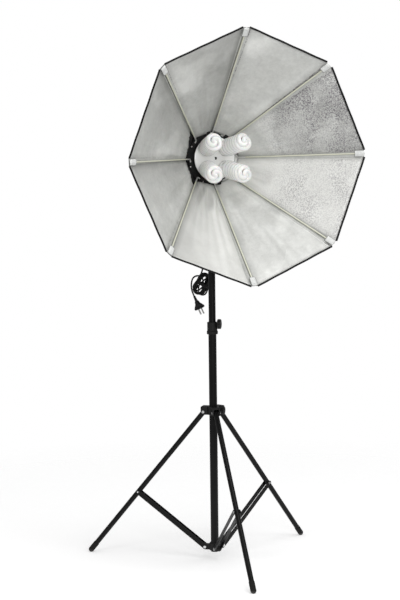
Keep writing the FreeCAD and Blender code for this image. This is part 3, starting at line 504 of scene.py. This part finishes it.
# the deepest folds of a gore: where they lie, how far they reach, height, folds across, slant
big_folds = {1: [(0.7, 0.35, 0.0035, 0.8, 0.9)], 2: [(0.6, 0.4, 0.005, 1.2, -1.3)],
             3: [(0.5, 0.4, 0.004, 1.0, 1.2)], 4: [(0.3, 0.25, 0.005, 2.0, 0.8)],
             5: [(0.16, 0.12, 0.0065, 2.6, 1.5), (0.7, 0.3, 0.003, 1.1, 0.6)],
             6: [(0.6, 0.35, 0.003, 1.2, -0.8)]}


def slack(gore, u, share):
    """How far the lining stands in from its flat gore, in metres."""
    edge = min(u, 1 - u)
    value = 0.0
    for k in range(7):
        across, along, phase, size = waves[gore * 7 + k]
        value += size * math.sin(2 * math.pi * (across * u + along * share) + phase)
    fan = value / 7 * (1.5 * math.exp(-share / 0.28) + 0.45)
    beside_rib = math.exp(-edge / 0.05) * math.sin(edge * 150 + 3.0 * share + gore)
    calm = min(1.0, edge / 0.09) ** 1.3 * min(1.0, (1 - share) / 0.05) * min(1.0, max(0.0, share) / 0.07)
    belly = -0.0035 * math.sin(math.pi * u) * math.sin(math.pi * min(1.0, max(0.0, share) * 1.05))
    for place, reach, height, turns, slant in big_folds.get(gore, ()):
        belly += (height * math.sin(2 * math.pi * (turns * u + slant * share)) * calm
                  * math.exp(-((share - place) / reach) ** 2))
    return gore_fullness[gore] * (0.0034 * fan * calm + 0.0006 * beside_rib * calm) + belly


def quads(rows, across, closed=True, first=0):
    """The faces of a grid of points given row by row; a closed one joins up round its ends."""
    return [(first + r * across + i, first + r * across + (i + 1) % across,
             first + (r + 1) * across + (i + 1) % across, first + (r + 1) * across + i)
            for r in range(rows) for i in range(across if closed else across - 1)]


def smooth_mesh(name, points, faces, uvs=()):
    """A smooth mesh; uvs, where there are any, go with the points."""
    mesh = bpy.data.meshes.new(name)
    mesh.from_pydata([tuple(p) for p in points], [], faces)
    mesh.polygons.foreach_set("use_smooth", [True] * len(mesh.polygons))
    if uvs:
        layer = mesh.uv_layers.new(name="cloth")
        for loop in mesh.loops:
            layer.data[loop.index].uv = uvs[loop.vertex_index]
    return mesh


def gore_cloth(name, start, off):
    """The gores as one cloth: start is where it begins, off its distance outside the wall."""
    rounds = []
    for k in range(16):
        steps = blunt_steps if k % 2 == 0 else gore_steps
        rounds += [k + i / steps for i in range(steps)]
    grid, gores, across_cloth = [], [], []
    for row in range(gore_rows + 1):
        for step in rounds:
            begin = start(step)
            share = begin + (1 - begin) * (row / gore_rows) ** 1.1
            x, y = wall_point(step, share)
            gore, u = int(step) // 2, (step - 1) % 2
            bulge = 0.0
            if int(step) % 2:
                bulge = slack(gore, step % 1.0, share)
            flat = math.radians(45.0 * gore + 22.5) if int(step) % 2 else math.atan2(y, x)
            tilt = 1 / math.sqrt(1 + slope ** 2)
            outward = off - bulge
            x += outward * math.cos(flat) * tilt
            y += outward * math.sin(flat) * tilt
            out = rear_depth + (mouth_depth - rear_depth) * share - outward * slope * tilt * 0.92
            out = min(out, mouth_depth)
            grid.append(in_box(x, y, out))
            gores.append(gore if int(step) % 2 else -1)
            across_cloth.append((step * cloth_step, share * cloth_long))
    mesh = smooth_mesh(name, grid, quads(gore_rows, len(rounds)))
    which = mesh.attributes.new("gore", "FLOAT", "POINT")
    which.data.foreach_set("value", [float(g) for g in gores])
    layer = mesh.uv_layers.new(name="cloth")
    for face in mesh.polygons:
        corners = [across_cloth[v] for v in face.vertices]
        turn_over = max(u for u, v in corners) > 1.5
        for index, (u, v) in zip(face.loop_indices, corners):
            layer.data[index].uv = (u + 16 * cloth_step if turn_over and u < 0.5 else u, v)
    return mesh


def facing_out(mesh):
    """Makes a sheet's outer side face away from the softbox's axis."""
    shell = bmesh.new()
    shell.from_mesh(mesh)
    shell.faces.ensure_lookup_table()
    first = shell.faces[len(shell.faces) // 2]
    centre = first.calc_center_median()
    away = Vector((centre.x, 0, centre.z - hub.z))
    if first.normal.dot(away) < 0:
        bmesh.ops.reverse_faces(shell, faces=shell.faces[:])
    shell.to_mesh(mesh)
    shell.free()


def thick(piece, wall, inwards):
    """A live Solidify gives the cloth its thickness."""
    skin = piece.modifiers.new("cloth", "SOLIDIFY")
    skin.thickness = wall
    skin.offset = -1.0 if inwards else 1.0
    skin.use_quality_normals = True


nylon = Finish("black_nylon", Sheen_Weight=0.04, Sheen_Roughness=0.5, Specular_IOR_Level=0.25)
nylon_uv = nylon.at.node("ShaderNodeUVMap", {"uv_map": "cloth"}, {})
weave = (nylon_uv.axis("X") * 5200.0).sine() * (nylon_uv.axis("Y") * 5200.0).sine()
nylon_cloud = nylon.place.noise(22.0, 4.0)
nylon.uses(
    Base_Color=(nylon_cloud * 0.7 + weave * 0.12).clear().between(grey(0.004), grey(0.012)),
    Roughness=0.46 + nylon_cloud * 0.14,
    Normal=(weave * 0.4 + nylon.place.noise(60.0, 4.0) * 1.4).relief(0.0004, 0.5),
)

silver = Finish("silver_lining", Specular_IOR_Level=0.4)
silver_uv = silver.at.node("ShaderNodeUVMap", {"uv_map": "cloth"}, {})
gore_number = silver.at.node("ShaderNodeAttribute", {"attribute_name": "gore"}, {}, "Fac")
in_gore = (silver_uv.axis("X") / (2 * cloth_step)).rest()
to_mouth = silver_uv.axis("Y") / cloth_long
from_seam = (in_gore - 0.25).size() * (to_mouth * 0.032 + 0.012)
# darker along the middle of each corner, under the rib
rib_line_darkening = (1 - (from_seam - 0.002) / 0.0022).clear()
beside_rib = (0.5 - (in_gore - 0.75).size() * 2) * (to_mouth * 0.22 + 0.08)
# painted shade: gores 2 to 5 darker next to the rib before them, fading across the gore
painted_shade_one_side = (1.25 - in_gore * 2.5 + 1.0).clear() * (gore_number > 1.5) * (gore_number < 5.5)
# painted shade: a soft dark band beside each rib
painted_shade_beside_rib = (1 - beside_rib / 0.02).clear()
right_upper = (gore_number > -0.5) * (gore_number < 0.5)
right_lower = gore_number > 6.5
upper_left = (gore_number > 1.5) * (gore_number < 3.5)
lower_left = (gore_number > 4.5) * (gore_number < 5.5)
lower_right = (gore_number > 5.5) * (gore_number < 6.5)
far_out = (to_mouth * 2.6 - 0.4).clear()
grainy = (right_upper + right_lower * 0.6) * far_out
patches = ((silver.place.noise(13.0, 3.0) - 0.38) * 4.5).clear()
specks = ((silver.place.noise(270.0, 2.0, 0.8) - 0.44) * 6.0).clear()
weft = silver.place.noise(90.0, 4.0, 0.65)
# painted highlight: soft light patches over the cloth
painted_highlight = ((silver.place.noise(9.0, 2.0, 0.5) - 0.54) * 7.0).clear()
crinkle = silver.place.noise(420.0, 3.0, 0.7)
soft = silver.place.noise(11.0, 4.0, 0.6)
crease = (1 - (silver.place.noise(5.0, 2.0, 0.45) - 0.5).size() * 9.0).clear()
# the cloth's tone, with the painted highlight added, lighter towards the hub
plain = (soft * 1.1 - 0.5 + crinkle * 0.3 + weft * 0.55 + painted_highlight * 0.4
         + (1 - to_mouth * 2.5).clear() * 0.25).clear().between(
    (0.45, 0.455, 0.437, 1), (0.82, 0.825, 0.8, 1))
# painted light: gores 5 and 7 lighter, with a slightly warmer tone
warm = (lower_left * 0.6 + right_lower * 0.6).between(plain, (0.88, 0.88, 0.85, 1))
speckled = (specks * grainy * (patches * 0.6 + 0.4) * 1.1).clear().between(warm, (0.2, 0.185, 0.205, 1))
# painted shade: the upper-left gores a little darker, and the lower-right gore darker towards the mouth
silver.uses(
    Base_Color=(rib_line_darkening * 0.42 + painted_shade_beside_rib * 0.2 + painted_shade_one_side * 0.27 + upper_left * 0.08
                + lower_right * far_out * 0.13).clear().between(speckled, (0.05, 0.05, 0.045, 1)),
    Metallic=0.3 + grainy * 0.25,
    Roughness=0.42 + soft * 0.12,
    Normal=(crinkle * 0.25 + crease * 0.9 + specks * grainy * 0.35).relief(0.0022, 0.7),
)


def lining_start(step):
    """The lining reaches the ring on the right and is cut short on the left, most at two ribs."""
    places = (0, 2.6, 3.0, 3.25, 3.4, 3.75, 4.1, 4.4, 4.8, 5.1, 5.35, 5.6, 6.0, 8)
    shares = (-0.045, -0.045, -0.03, 0.02, 0.14, 0.03, 0.0, 0.012, 0.03, 0.08, 0.03, -0.02, -0.045, -0.045)
    return float(np.interp(step / 2.0, places, shares))


cover_mesh = gore_cloth("softbox_cover", lambda step: 0.0, 0.0026)
facing_out(cover_mesh)
cover_mesh.materials.append(nylon.material)
cover = placed("softbox_cover", cover_mesh, "lamp_head", "softbox_fabric", "softbox_shell")
thick(cover, 0.0006, True)

lining_mesh = gore_cloth("softbox_lining", lining_start, 0.0009)
facing_out(lining_mesh)
lining_mesh.materials.append(silver.material)
lip_steps = 48
lip_points = []
for i in range(lip_steps + 1):
    angle = math.radians(-68.0 + 136.0 * i / lip_steps)
    for radius, out in ((0.0735, -0.0096), (0.0785, -0.0096), (0.0832, -0.0088)):
        lip_points.append(in_box(radius * math.cos(angle), radius * math.sin(angle), out))
lip_mesh = smooth_mesh("lining_lip", lip_points, quads(lip_steps, 3, closed=False),
                       [(1.5 * cloth_step, -0.01)] * len(lip_points))
lip_mesh.attributes.new("gore", "FLOAT", "POINT").data.foreach_set("value", [7.0] * len(lip_points))
both = bmesh.new()
both.from_mesh(lining_mesh)
both.from_mesh(lip_mesh)
both.to_mesh(lining_mesh)
both.free()
lining = placed("softbox_lining", lining_mesh, "lamp_head", "softbox_fabric")
thick(lining, 0.0004, True)

# ---------------------------------------------------------------- rear collar
# A cuff of the same black nylon, sewn to the gores at the hub. An elastic in its rear hem
# gathers it behind the rib ring, round the lamp housing.

cuff = [(0.0957, 0.0035), (0.0957, -0.001), (0.0953, -0.006), (0.0944, -0.011), (0.0925, -0.0155),
        (0.0885, -0.0195), (0.0835, -0.0222), (0.0785, -0.0236), (0.0742, -0.0242)]
cuff_steps = 240
gathers, small_gathers = 46, 31
cuff_points, cuff_uvs = [], []
for level, (radius, out) in enumerate(cuff):
    pull = (level / (len(cuff) - 1)) ** 1.4
    for i in range(cuff_steps):
        angle = 2 * math.pi * i / cuff_steps
        ripple = (math.sin(gathers * angle + 1.5 * math.sin(3 * angle))
                  + 0.5 * math.sin(small_gathers * angle + 2))
        r = radius - 0.0009 * (1 - ripple) * pull
        cuff_points.append(in_box(r * math.cos(angle), r * math.sin(angle),
                                  out + 0.0005 * pull * math.cos(gathers * angle)))
        cuff_uvs.append((i * 0.0024, level * 0.005))
cuff_mesh = smooth_mesh("gathered_collar", cuff_points, quads(len(cuff) - 1, cuff_steps), cuff_uvs)
facing_out(cuff_mesh)
cuff_mesh.materials.append(nylon.material)
collar = placed("gathered_collar", cuff_mesh, "lamp_head", "black_fabric", "rear_collar")
thick(collar, 0.0008, True)

# ---------------------------------------------------------------- rim piping
# A cord wrapped in a bias strip of black cloth is sewn round the mouth, gore by gore. It stops
# short of each blunt corner, where the pocket takes over.

bias = Finish("piping_cloth", Sheen_Weight=0.04, Specular_IOR_Level=0.2)
twill = ((bias.place.axis("X") + bias.place.axis("Z")) * 2600.0).sine()
bias.uses(
    Base_Color=(twill * 0.25 + bias.place.noise(80.0) * 0.6).clear().between(grey(0.003), grey(0.01)),
    Roughness=0.6 + bias.place.noise(300.0) * 0.2,
    Normal=twill.relief(0.0003, 0.6),
)
piping = Recipe("rim_piping", Radius=0.0028, Facets=10, Cloth=bias.material)
edge_line = piping.node("GeometryNodeMeshToCurve", None, Mesh=piping.entry.outputs[0])
section = piping.node("GeometryNodeCurvePrimitiveCircle", None, Resolution=piping.entry.outputs["Facets"],
                      Radius=piping.entry.outputs["Radius"])
wrapped = piping.node("GeometryNodeCurveToMesh", None, Curve=edge_line.outputs[0],
                      Profile_Curve=section.outputs[0], Fill_Caps=True)
rounded = piping.node("GeometryNodeSetShadeSmooth", None, Geometry=wrapped.outputs[0])
piping.ends_with(rounded.outputs[0], piping.entry.outputs["Cloth"])
rim_steps = 30
rim_points, rim_links = [], []
for gore in range(8):
    for i in range(rim_steps + 1):
        u = i / rim_steps
        x, y = wall_point(2 * gore + 1 + min(u, 0.9999), 1.0)
        sag = 0.0003 * math.sin(7 * u * math.pi + gore)
        grow = 1 + (0.0014 + sag) / math.hypot(x, y)
        if i:
            rim_links.append((len(rim_points) - 1, len(rim_points)))
        rim_points.append(in_box(x * grow, y * grow, mouth_depth + 0.0021))
rim = piping.made_from("mouth_piping", rim_points, rim_links, "lamp_head", "black_fabric",
                       Cloth=bias.material)
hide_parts("rim_piping")

# ---------------------------------------------------------------- corner pockets
# A folded patch of pale webbing is sewn into each corner and takes the tip of a rib. It is
# flat at its sewn edges and rounded over the rod.

webbing = Finish("pocket_webbing", Sheen_Weight=0.2, Sheen_Roughness=0.4)
pocket_uv = webbing.at.node("ShaderNodeUVMap", {"uv_map": "cloth"}, {})
rows = (pocket_uv.axis("Y") * 3800.0).sine()
picks = (pocket_uv.axis("X") * 2800.0).sine()
# painted shadow: a dark band round the patch's sewn edges
painted_edge_shadow = (pocket_uv.axis("X").size() - 0.0078) * 1200.0
painted_edge_shadow = (painted_edge_shadow.clear() + ((pocket_uv.axis("Y") - 0.0235) * 1200.0).clear()).clear()
webbing.uses(
    Base_Color=painted_edge_shadow.between((rows * picks * 0.25 + webbing.place.noise(150.0, 4.0)).clear().between(
        (0.6, 0.61, 0.6, 1), (0.86, 0.87, 0.85, 1)), (0.1, 0.1, 0.095, 1)),
    Roughness=0.6 + webbing.place.noise(300.0) * 0.2,
    Normal=(rows * picks).relief(0.0003, 0.6),
)
patch_across, patch_along = 16, 18
patch_long, patch_past, patch_half = 0.028, 0.003, 0.0095
patch_rise, patch_lift = 0.0018, 0.0066      # over the cloth at the sewn edges, and more over the rod
patch_points, patch_faces, patch_uvs, patch_seams = [], [], [], []
for corner in range(8):
    azimuth = math.radians(45.0 * corner)
    radial = Vector((math.cos(azimuth), math.sin(azimuth)))
    across = Vector((-math.sin(azimuth), math.cos(azimuth)))
    first = len(patch_points)
    grid = []
    for j in range(patch_along + 1):
        share = j / patch_along
        back = patch_long * (1 - share) - patch_past
        half = patch_half - 0.0015 * share ** 2
        line = []
        for i in range(patch_across + 1):
            s = 2 * i / patch_across - 1
            run = corner_mouth - back * slope / math.sqrt(1 + slope ** 2)
            out = mouth_depth - back / math.sqrt(1 + slope ** 2)
            crown = max(0.0, 1 - abs(s) ** 1.9) ** 1.3 * (0.55 + 0.45 * (1 - share) ** 0.5)
            fold = patch_rise + patch_lift * crown
            fold *= min(1.0, (1 - share) / 0.12 + 0.35)
            off = half * s
            # the walls either side of a corner lean in, so a sewn edge sits nearer the axis
            lean = abs(off) * math.tan(math.radians(22.5)) * 0.85
            p2 = radial * (run - fold * 0.69 - lean) + across * off
            line.append(in_box(p2.x, p2.y, min(out + fold * 0.72, mouth_depth + 0.0035)))
            patch_uvs.append((off, back))
        grid += line
    patch_points += grid
    wide = patch_across + 1
    patch_faces += quads(patch_along, wide, False, first)
    for side in (1, patch_across - 1):
        patch_seams.append([grid[j * wide + side] for j in range(1, patch_along)])
    patch_seams.append([grid[wide + i] for i in range(1, patch_across)])
patch_mesh = smooth_mesh("rib_pockets", patch_points, patch_faces, patch_uvs)
facing_out(patch_mesh)
patch_mesh.materials.append(webbing.material)
pockets = placed("rib_pockets", patch_mesh, "lamp_head", "white_fabric", "corner_pockets")
thick(pockets, 0.0011, True)

# ---------------------------------------------------------------- stitches
# Lock stitches in black thread close the cover's seams beside the ribs. The pockets are sewn
# with pale thread.

thread_black = Finish("black_thread", Roughness=0.6)
thread_black.uses(Base_Color=thread_black.place.noise(900.0).between(grey(0.02), grey(0.06)),
                  Normal=thread_black.place.noise(2000.0).relief(0.0001, 0.5))
thread_pale = Finish("pale_thread", Roughness=0.55)
thread_pale.uses(Base_Color=thread_pale.place.noise(900.0).between(grey(0.5), grey(0.8)),
                 Normal=thread_pale.place.noise(2000.0).relief(0.0001, 0.5))
sewing = Recipe("sewing", Pitch=0.005, Thread_radius=0.0004, Stitch_length=0.0034,
                Thread=thread_black.material)
seam_line = sewing.node("GeometryNodeMeshToCurve", None, Mesh=sewing.entry.outputs[0])
marks = sewing.node("GeometryNodeCurveToPoints", {"mode": "LENGTH"}, Curve=seam_line.outputs[0],
                    Length=sewing.entry.outputs["Pitch"])
one = sewing.node("GeometryNodeMeshCylinder", None, Vertices=6, Radius=sewing.entry.outputs["Thread radius"],
                  Depth=sewing.entry.outputs["Stitch length"])
turned = sewing.node("FunctionNodeAlignRotationToVector", {"axis": "Z"}, Vector=marks.outputs["Tangent"])
row_of = sewing.node("GeometryNodeInstanceOnPoints", None, Points=marks.outputs[0],
                     Instance=one.outputs[0], Rotation=turned.outputs[0])
sewing.ends_with(row_of.outputs[0], sewing.entry.outputs["Thread"])


def sewn(name, lines, body, slot, **values):
    points, links = [], []
    for line in lines:
        links += [(len(points) + i, len(points) + i + 1) for i in range(len(line) - 1)]
        points += line
    return sewing.made_from(name, points, links, body, slot, **values)


def lift_from(line, height):
    """A seam line moved towards the softbox's axis, or outwards for a height below zero."""
    return [p - Vector((p.x, 0.0, p.z - hub.z)).normalized() * height + Vector((0, -height, 0)) for p in line]


on_cloth = 0.0004              # from the cloth to the middle of a thread
sewn("pocket_stitches", [lift_from(line, on_cloth) for line in patch_seams], "lamp_head",
     "white_fabric", Pitch=0.0042, Thread=thread_pale.material)
count_round = 8 * (gore_steps + blunt_steps)
cover_points = [v.co.copy() for v in cover_mesh.vertices]
seam_lines = []
for corner in range(8):
    seam = corner * (gore_steps + blunt_steps)
    for place in (seam, seam + blunt_steps):
        line = [cover_points[row * count_round + place] for row in range(2, gore_rows)]
        seam_lines.append(lift_from(line, -on_cloth))
sewn("cover_stitches", seam_lines, "lamp_head", "black_fabric", Thread=thread_black.material)

# ---------------------------------------------------------------- mains lead, hank and plug
# A limp twin-core lead in black PVC, 5 mm thick and 2 m long. It hangs from the strain relief
# and most of it is wound into a flat hank; a loose loop leads to the moulded two-pin plug.

exit_point = Vector(joint_named["cord_plumb"]["pos_m"])
behind_column = 0.08
lead_route = [
    (0.0, 0.0724, 1.188), (0.0002, 0.0794, 1.1782), (0.0008, 0.0826, 1.163), (0.0002, 0.0814, 1.135),
    (-0.0012, 0.0802, 1.085), (0.0003, 0.0796, 1.022), (0.0026, 0.0802, 0.962), (0.0066, 0.0842, 0.915),
]
tail_route = [
    (-0.0005, 0.0664, 0.872), (-0.0043, 0.0638, 0.890), (-0.0184, 0.0686, 0.8985),
    (-0.0330, 0.0745, 0.892), (-0.0376, 0.0767, 0.876), (-0.0379, 0.0771, 0.860),
    (-0.0354, 0.0761, 0.8455), (-0.0298, 0.0737, 0.832),
]
facing_away = Vector((0.389, 0.921, 0.0))
sideways = Vector((0.921, -0.389, 0.0))
lean = math.radians(28.8)
hank_up = sideways * math.sin(lean) + Vector((0, 0, math.cos(lean)))
hank_left = hank_up.cross(facing_away)
hank_centre = Vector((0, behind_column, 0.868)) - sideways * 0.030 + facing_away * 0.073
# round one turn of the hank: the angle about the middle of its bend, and the level of its run
turn_shape = [(0, 0.6), (0, 0.0), (0, -0.6), (-30, -1), (-60, -1), (-90, -1), (-120, -1), (-150, -1),
              (180, -0.6), (180, 0.0), (180, 0.6), (150, 1), (120, 1), (90, 1), (60, 1), (30, 1)]
# each turn: the places of its downward and its upward run, depth, half the run's length, swing
turns = [
    (0.0192, -0.0150, 0.0108, 0.0180, 3.0), (0.0130, -0.0202, 0.0098, 0.0168, 8.0),
    (0.0054, -0.0202, 0.0060, 0.0186, 17.0), (0.0202, -0.0058, 0.0046, 0.0168, 13.0),
    (0.0202, -0.0110, 0.0006, 0.0188, 3.0), (0.0147, -0.0170, -0.0006, 0.0170, -7.0),
    (0.0092, -0.0202, -0.0050, 0.0182, -14.0), (0.0196, -0.0062, -0.0056, 0.0170, -8.0),
    (0.0202, -0.0130, -0.0098, 0.0180, 2.0), (0.0140, -0.0185, -0.0106, 0.0168, 5.0),
]
first_bend, last_turn = 9, len(turns) - 1
to_tail = 10                   # points of the last turn whose place the tail takes
splay, splay_at = 0.22, 0.036  # the bends stand deeper than the runs, by this share at this height
hank_route = []
for k, (down_run, up_run, *rest_of_turn) in enumerate(turns):
    next_down, _, *rest_of_next = turns[min(k + 1, last_turn)]
    for i, (angle, level) in enumerate(turn_shape):
        change = max(0.0, (i - first_bend) / (len(turn_shape) - first_bend))
        depth, reach, swing = (a + (b - a) * change for a, b in zip(rest_of_turn, rest_of_next))
        outer = down_run if i < first_bend else next_down
        half = (outer - up_run) / 2
        left = (outer + up_run) / 2 + half * math.cos(math.radians(angle))
        up = reach * level + half * math.sin(math.radians(angle))
        c, s = math.cos(math.radians(swing)), math.sin(math.radians(swing))
        left, up = left * c - up * s, left * s + up * c
        spread = 1 + splay * (abs(up) / splay_at) ** 2
        hank_route.append(hank_centre + hank_left * left + hank_up * up + facing_away * depth * spread)
cord_points = [Vector((x, behind_column + y, z)) for x, y, z in lead_route]
cord_points[0] = exit_point
tail_points = [Vector((x, behind_column + y, z)) for x, y, z in tail_route]
cord_points += hank_route[:-to_tail] + [
    hank_centre - hank_left * right_by - hank_up * down_by - facing_away * 0.0122
    for right_by, down_by in ((0.0152, 0.0262), (0.0178, 0.0150))]
cord_points += tail_points

pvc = Finish("cord_pvc", Coat_Weight=0.03, Coat_Roughness=0.3, Specular_IOR_Level=0.16)
pvc_cloud = pvc.place.noise(70.0, 3.0)
pvc.uses(
    Base_Color=pvc_cloud.between(grey(0.003), grey(0.009)),
    Roughness=0.36 + pvc_cloud * 0.16,
    Normal=pvc.place.noise(600.0, 2.0).relief(0.00005, 0.5),
)
lead_curve = bpy.data.curves.new("mains_lead", "CURVE")
lead_curve.dimensions = "3D"
lead_line = lead_curve.splines.new("NURBS")
lead_line.points.add(len(cord_points) - 1)
for point, place in zip(lead_line.points, cord_points):
    point.co = (*place, 1.0)
lead_line.order_u = 3
lead_line.use_endpoint_u = True
lead_line.resolution_u = 5
lead_curve.bevel_depth = 0.0025
lead_curve.bevel_resolution = 3
lead_curve.use_fill_caps = True
lead_curve.materials.append(pvc.material)
lead = placed("mains_lead", lead_curve, "cord", "cord_jacket", "cord_lead", "cord_hank", "cord_tail")

pvc.on("plug_body")

# ---------------------------------------------------------------- plug pins
# Two round pins of nickel-plated brass, held in the moulded body. They are dulled and streaked
# lengthways by use.

pins = Finish("plug_pin_nickel", Metallic=1.0)
wear = pins.place.stretched(1.0, 1.0, 0.15).noise(900.0, 3.0)
pins.uses(
    Base_Color=wear.between((0.2, 0.2, 0.2, 1), (0.42, 0.42, 0.41, 1)),
    Roughness=0.25 + wear * 0.2,
    Normal=wear.relief(0.00003, 0.4),
)
pins.on("plug_pins")

# ---------------------------------------------------------------- cord tie
# A short strap of black hook-and-loop tape holds the hank together. It goes once round the
# middle, follows the hank's rounded section and is drawn in a little at its centre.

tie_cloth = Finish("tie_hook_and_loop", Sheen_Weight=0.1, Specular_IOR_Level=0.2)
loops = tie_cloth.place.cells(1400.0)
tie_cloth.uses(
    Base_Color=loops.between(grey(0.005), grey(0.014)),
    Roughness=0.75 + tie_cloth.place.noise(400.0) * 0.15,
    Normal=loops.relief(0.0005, 0.8),
)
tie_half_left, tie_half_deep, tie_corner, tie_half_wide = 0.0202, 0.0146, 0.008, 0.0048
tie_steps, band_rows = 8, 4
band = []
for quarter, (sx, sy) in enumerate(((1, 1), (-1, 1), (-1, -1), (1, -1))):
    for i in range(tie_steps + 1):
        angle = math.radians(90 * quarter + 90 * i / tie_steps)
        band.append((sx * (tie_half_left - tie_corner) + tie_corner * math.cos(angle),
                     sy * (tie_half_deep - tie_corner) + tie_corner * math.sin(angle)))
band_points = []
for level in range(band_rows + 1):
    share = level / band_rows * 2 - 1
    pinch = 1 - 0.03 * (1 - share ** 2)
    band_points += [hank_centre + hank_left * x * pinch + facing_away * y * pinch
                    + hank_up * tie_half_wide * share for x, y in band]
band_mesh = smooth_mesh("hank_tie", band_points, quads(band_rows, len(band)))
band_mesh.materials.append(tie_cloth.material)
tie = placed("hank_tie", band_mesh, "cord", "cord_jacket", "cord_tie")
thick(tie, 0.0011, False)

# ---------------------------------------------------------------- studio floor, light and camera
# A pale floor that fades into an even white room, and four large soft lights. The long-lens
# camera is level with the bulbs and to the stand's left.

floor_mesh = bpy.data.meshes.new("studio_floor")
floor_mesh.from_pydata([(-2.5, -2.5, 0), (2.5, -2.5, 0), (2.5, 2.5, 0), (-2.5, 2.5, 0)], [], [(0, 1, 2, 3)])
paper = Finish("pale_floor", Roughness=0.9, Emission_Color=grey(1.0), Emission_Strength=0.36)
floor_x, floor_y = paper.place.axis("X"), paper.place.axis("Y")
paper.uses(Base_Color=paper.place.noise(0.6).between(grey(0.86), grey(0.9)),
           Alpha=((2.2 - (floor_x * floor_x + floor_y * floor_y) ** 0.5) / 1.5).clear())
floor_mesh.materials.append(paper.material)
floor = bpy.data.objects.new("studio_floor", floor_mesh)
bpy.context.scene.collection.objects.link(floor)

room = bpy.data.worlds.new("studio_room")
bpy.context.scene.world = room
room.use_nodes = True
sky = Shade(room.node_tree)
seen = sky.node("ShaderNodeLightPath", {}, {}, "Is Camera Ray")
room.node_tree.links.new((seen * 0.57 + 0.43).socket, room.node_tree.nodes["Background"].inputs[1])
room.node_tree.nodes["Background"].inputs[0].default_value = (1.0, 1.0, 1.0, 1.0)

aim = Vector((0.0, 0.0, 1.1))
for name, place, size, power in (
    ("key_light", (2.2, -3.4, 3.4), 2.0, 38.0),
    ("edge_light", (-3.4, -1.6, 1.9), 1.2, 26.0),
    ("front_light", (-1.0, -4.4, 1.6), 1.6, 50.0),
    ("top_light", (0.2, -1.2, 4.2), 2.2, 48.0),
):
    lamp = bpy.data.lights.new(name, "AREA")
    lamp.shape, lamp.size, lamp.energy = "DISK", size, power
    holder = bpy.data.objects.new(name, lamp)
    holder.location = place
    holder.rotation_euler = (aim - Vector(place)).to_track_quat("-Z", "Y").to_euler()
    bpy.context.scene.collection.objects.link(holder)
bpy.context.scene.view_settings.view_transform = "Standard"

heading, level_right, up = Vector((0.3891, 0.9212, 0)), Vector((0.9212, -0.3891, 0)), Vector((0, 0, 1))
yaw, pitch, tip = math.radians(0.45), math.radians(5.22), math.radians(0.70)
ahead = heading * math.cos(yaw) - level_right * math.sin(yaw)
right = level_right * math.cos(yaw) + heading * math.sin(yaw)
look_dir = ahead * math.cos(pitch) - up * math.sin(pitch)
head_up = ahead * math.sin(pitch) + up * math.cos(pitch)
right, head_up = (right * math.cos(tip) - head_up * math.sin(tip),
                  right * math.sin(tip) + head_up * math.cos(tip))
lens = bpy.data.cameras.new("camera")
lens.sensor_width = 36.0
lens.lens = 91.692
camera = bpy.data.objects.new("camera", lens)
bpy.context.scene.collection.objects.link(camera)
turn_to = Matrix((right, head_up, -look_dir)).transposed().to_4x4()
camera.matrix_world = Matrix.Translation(Vector((-1.8517, -4.3037, 1.2596))) @ turn_to
bpy.context.scene.camera = camera
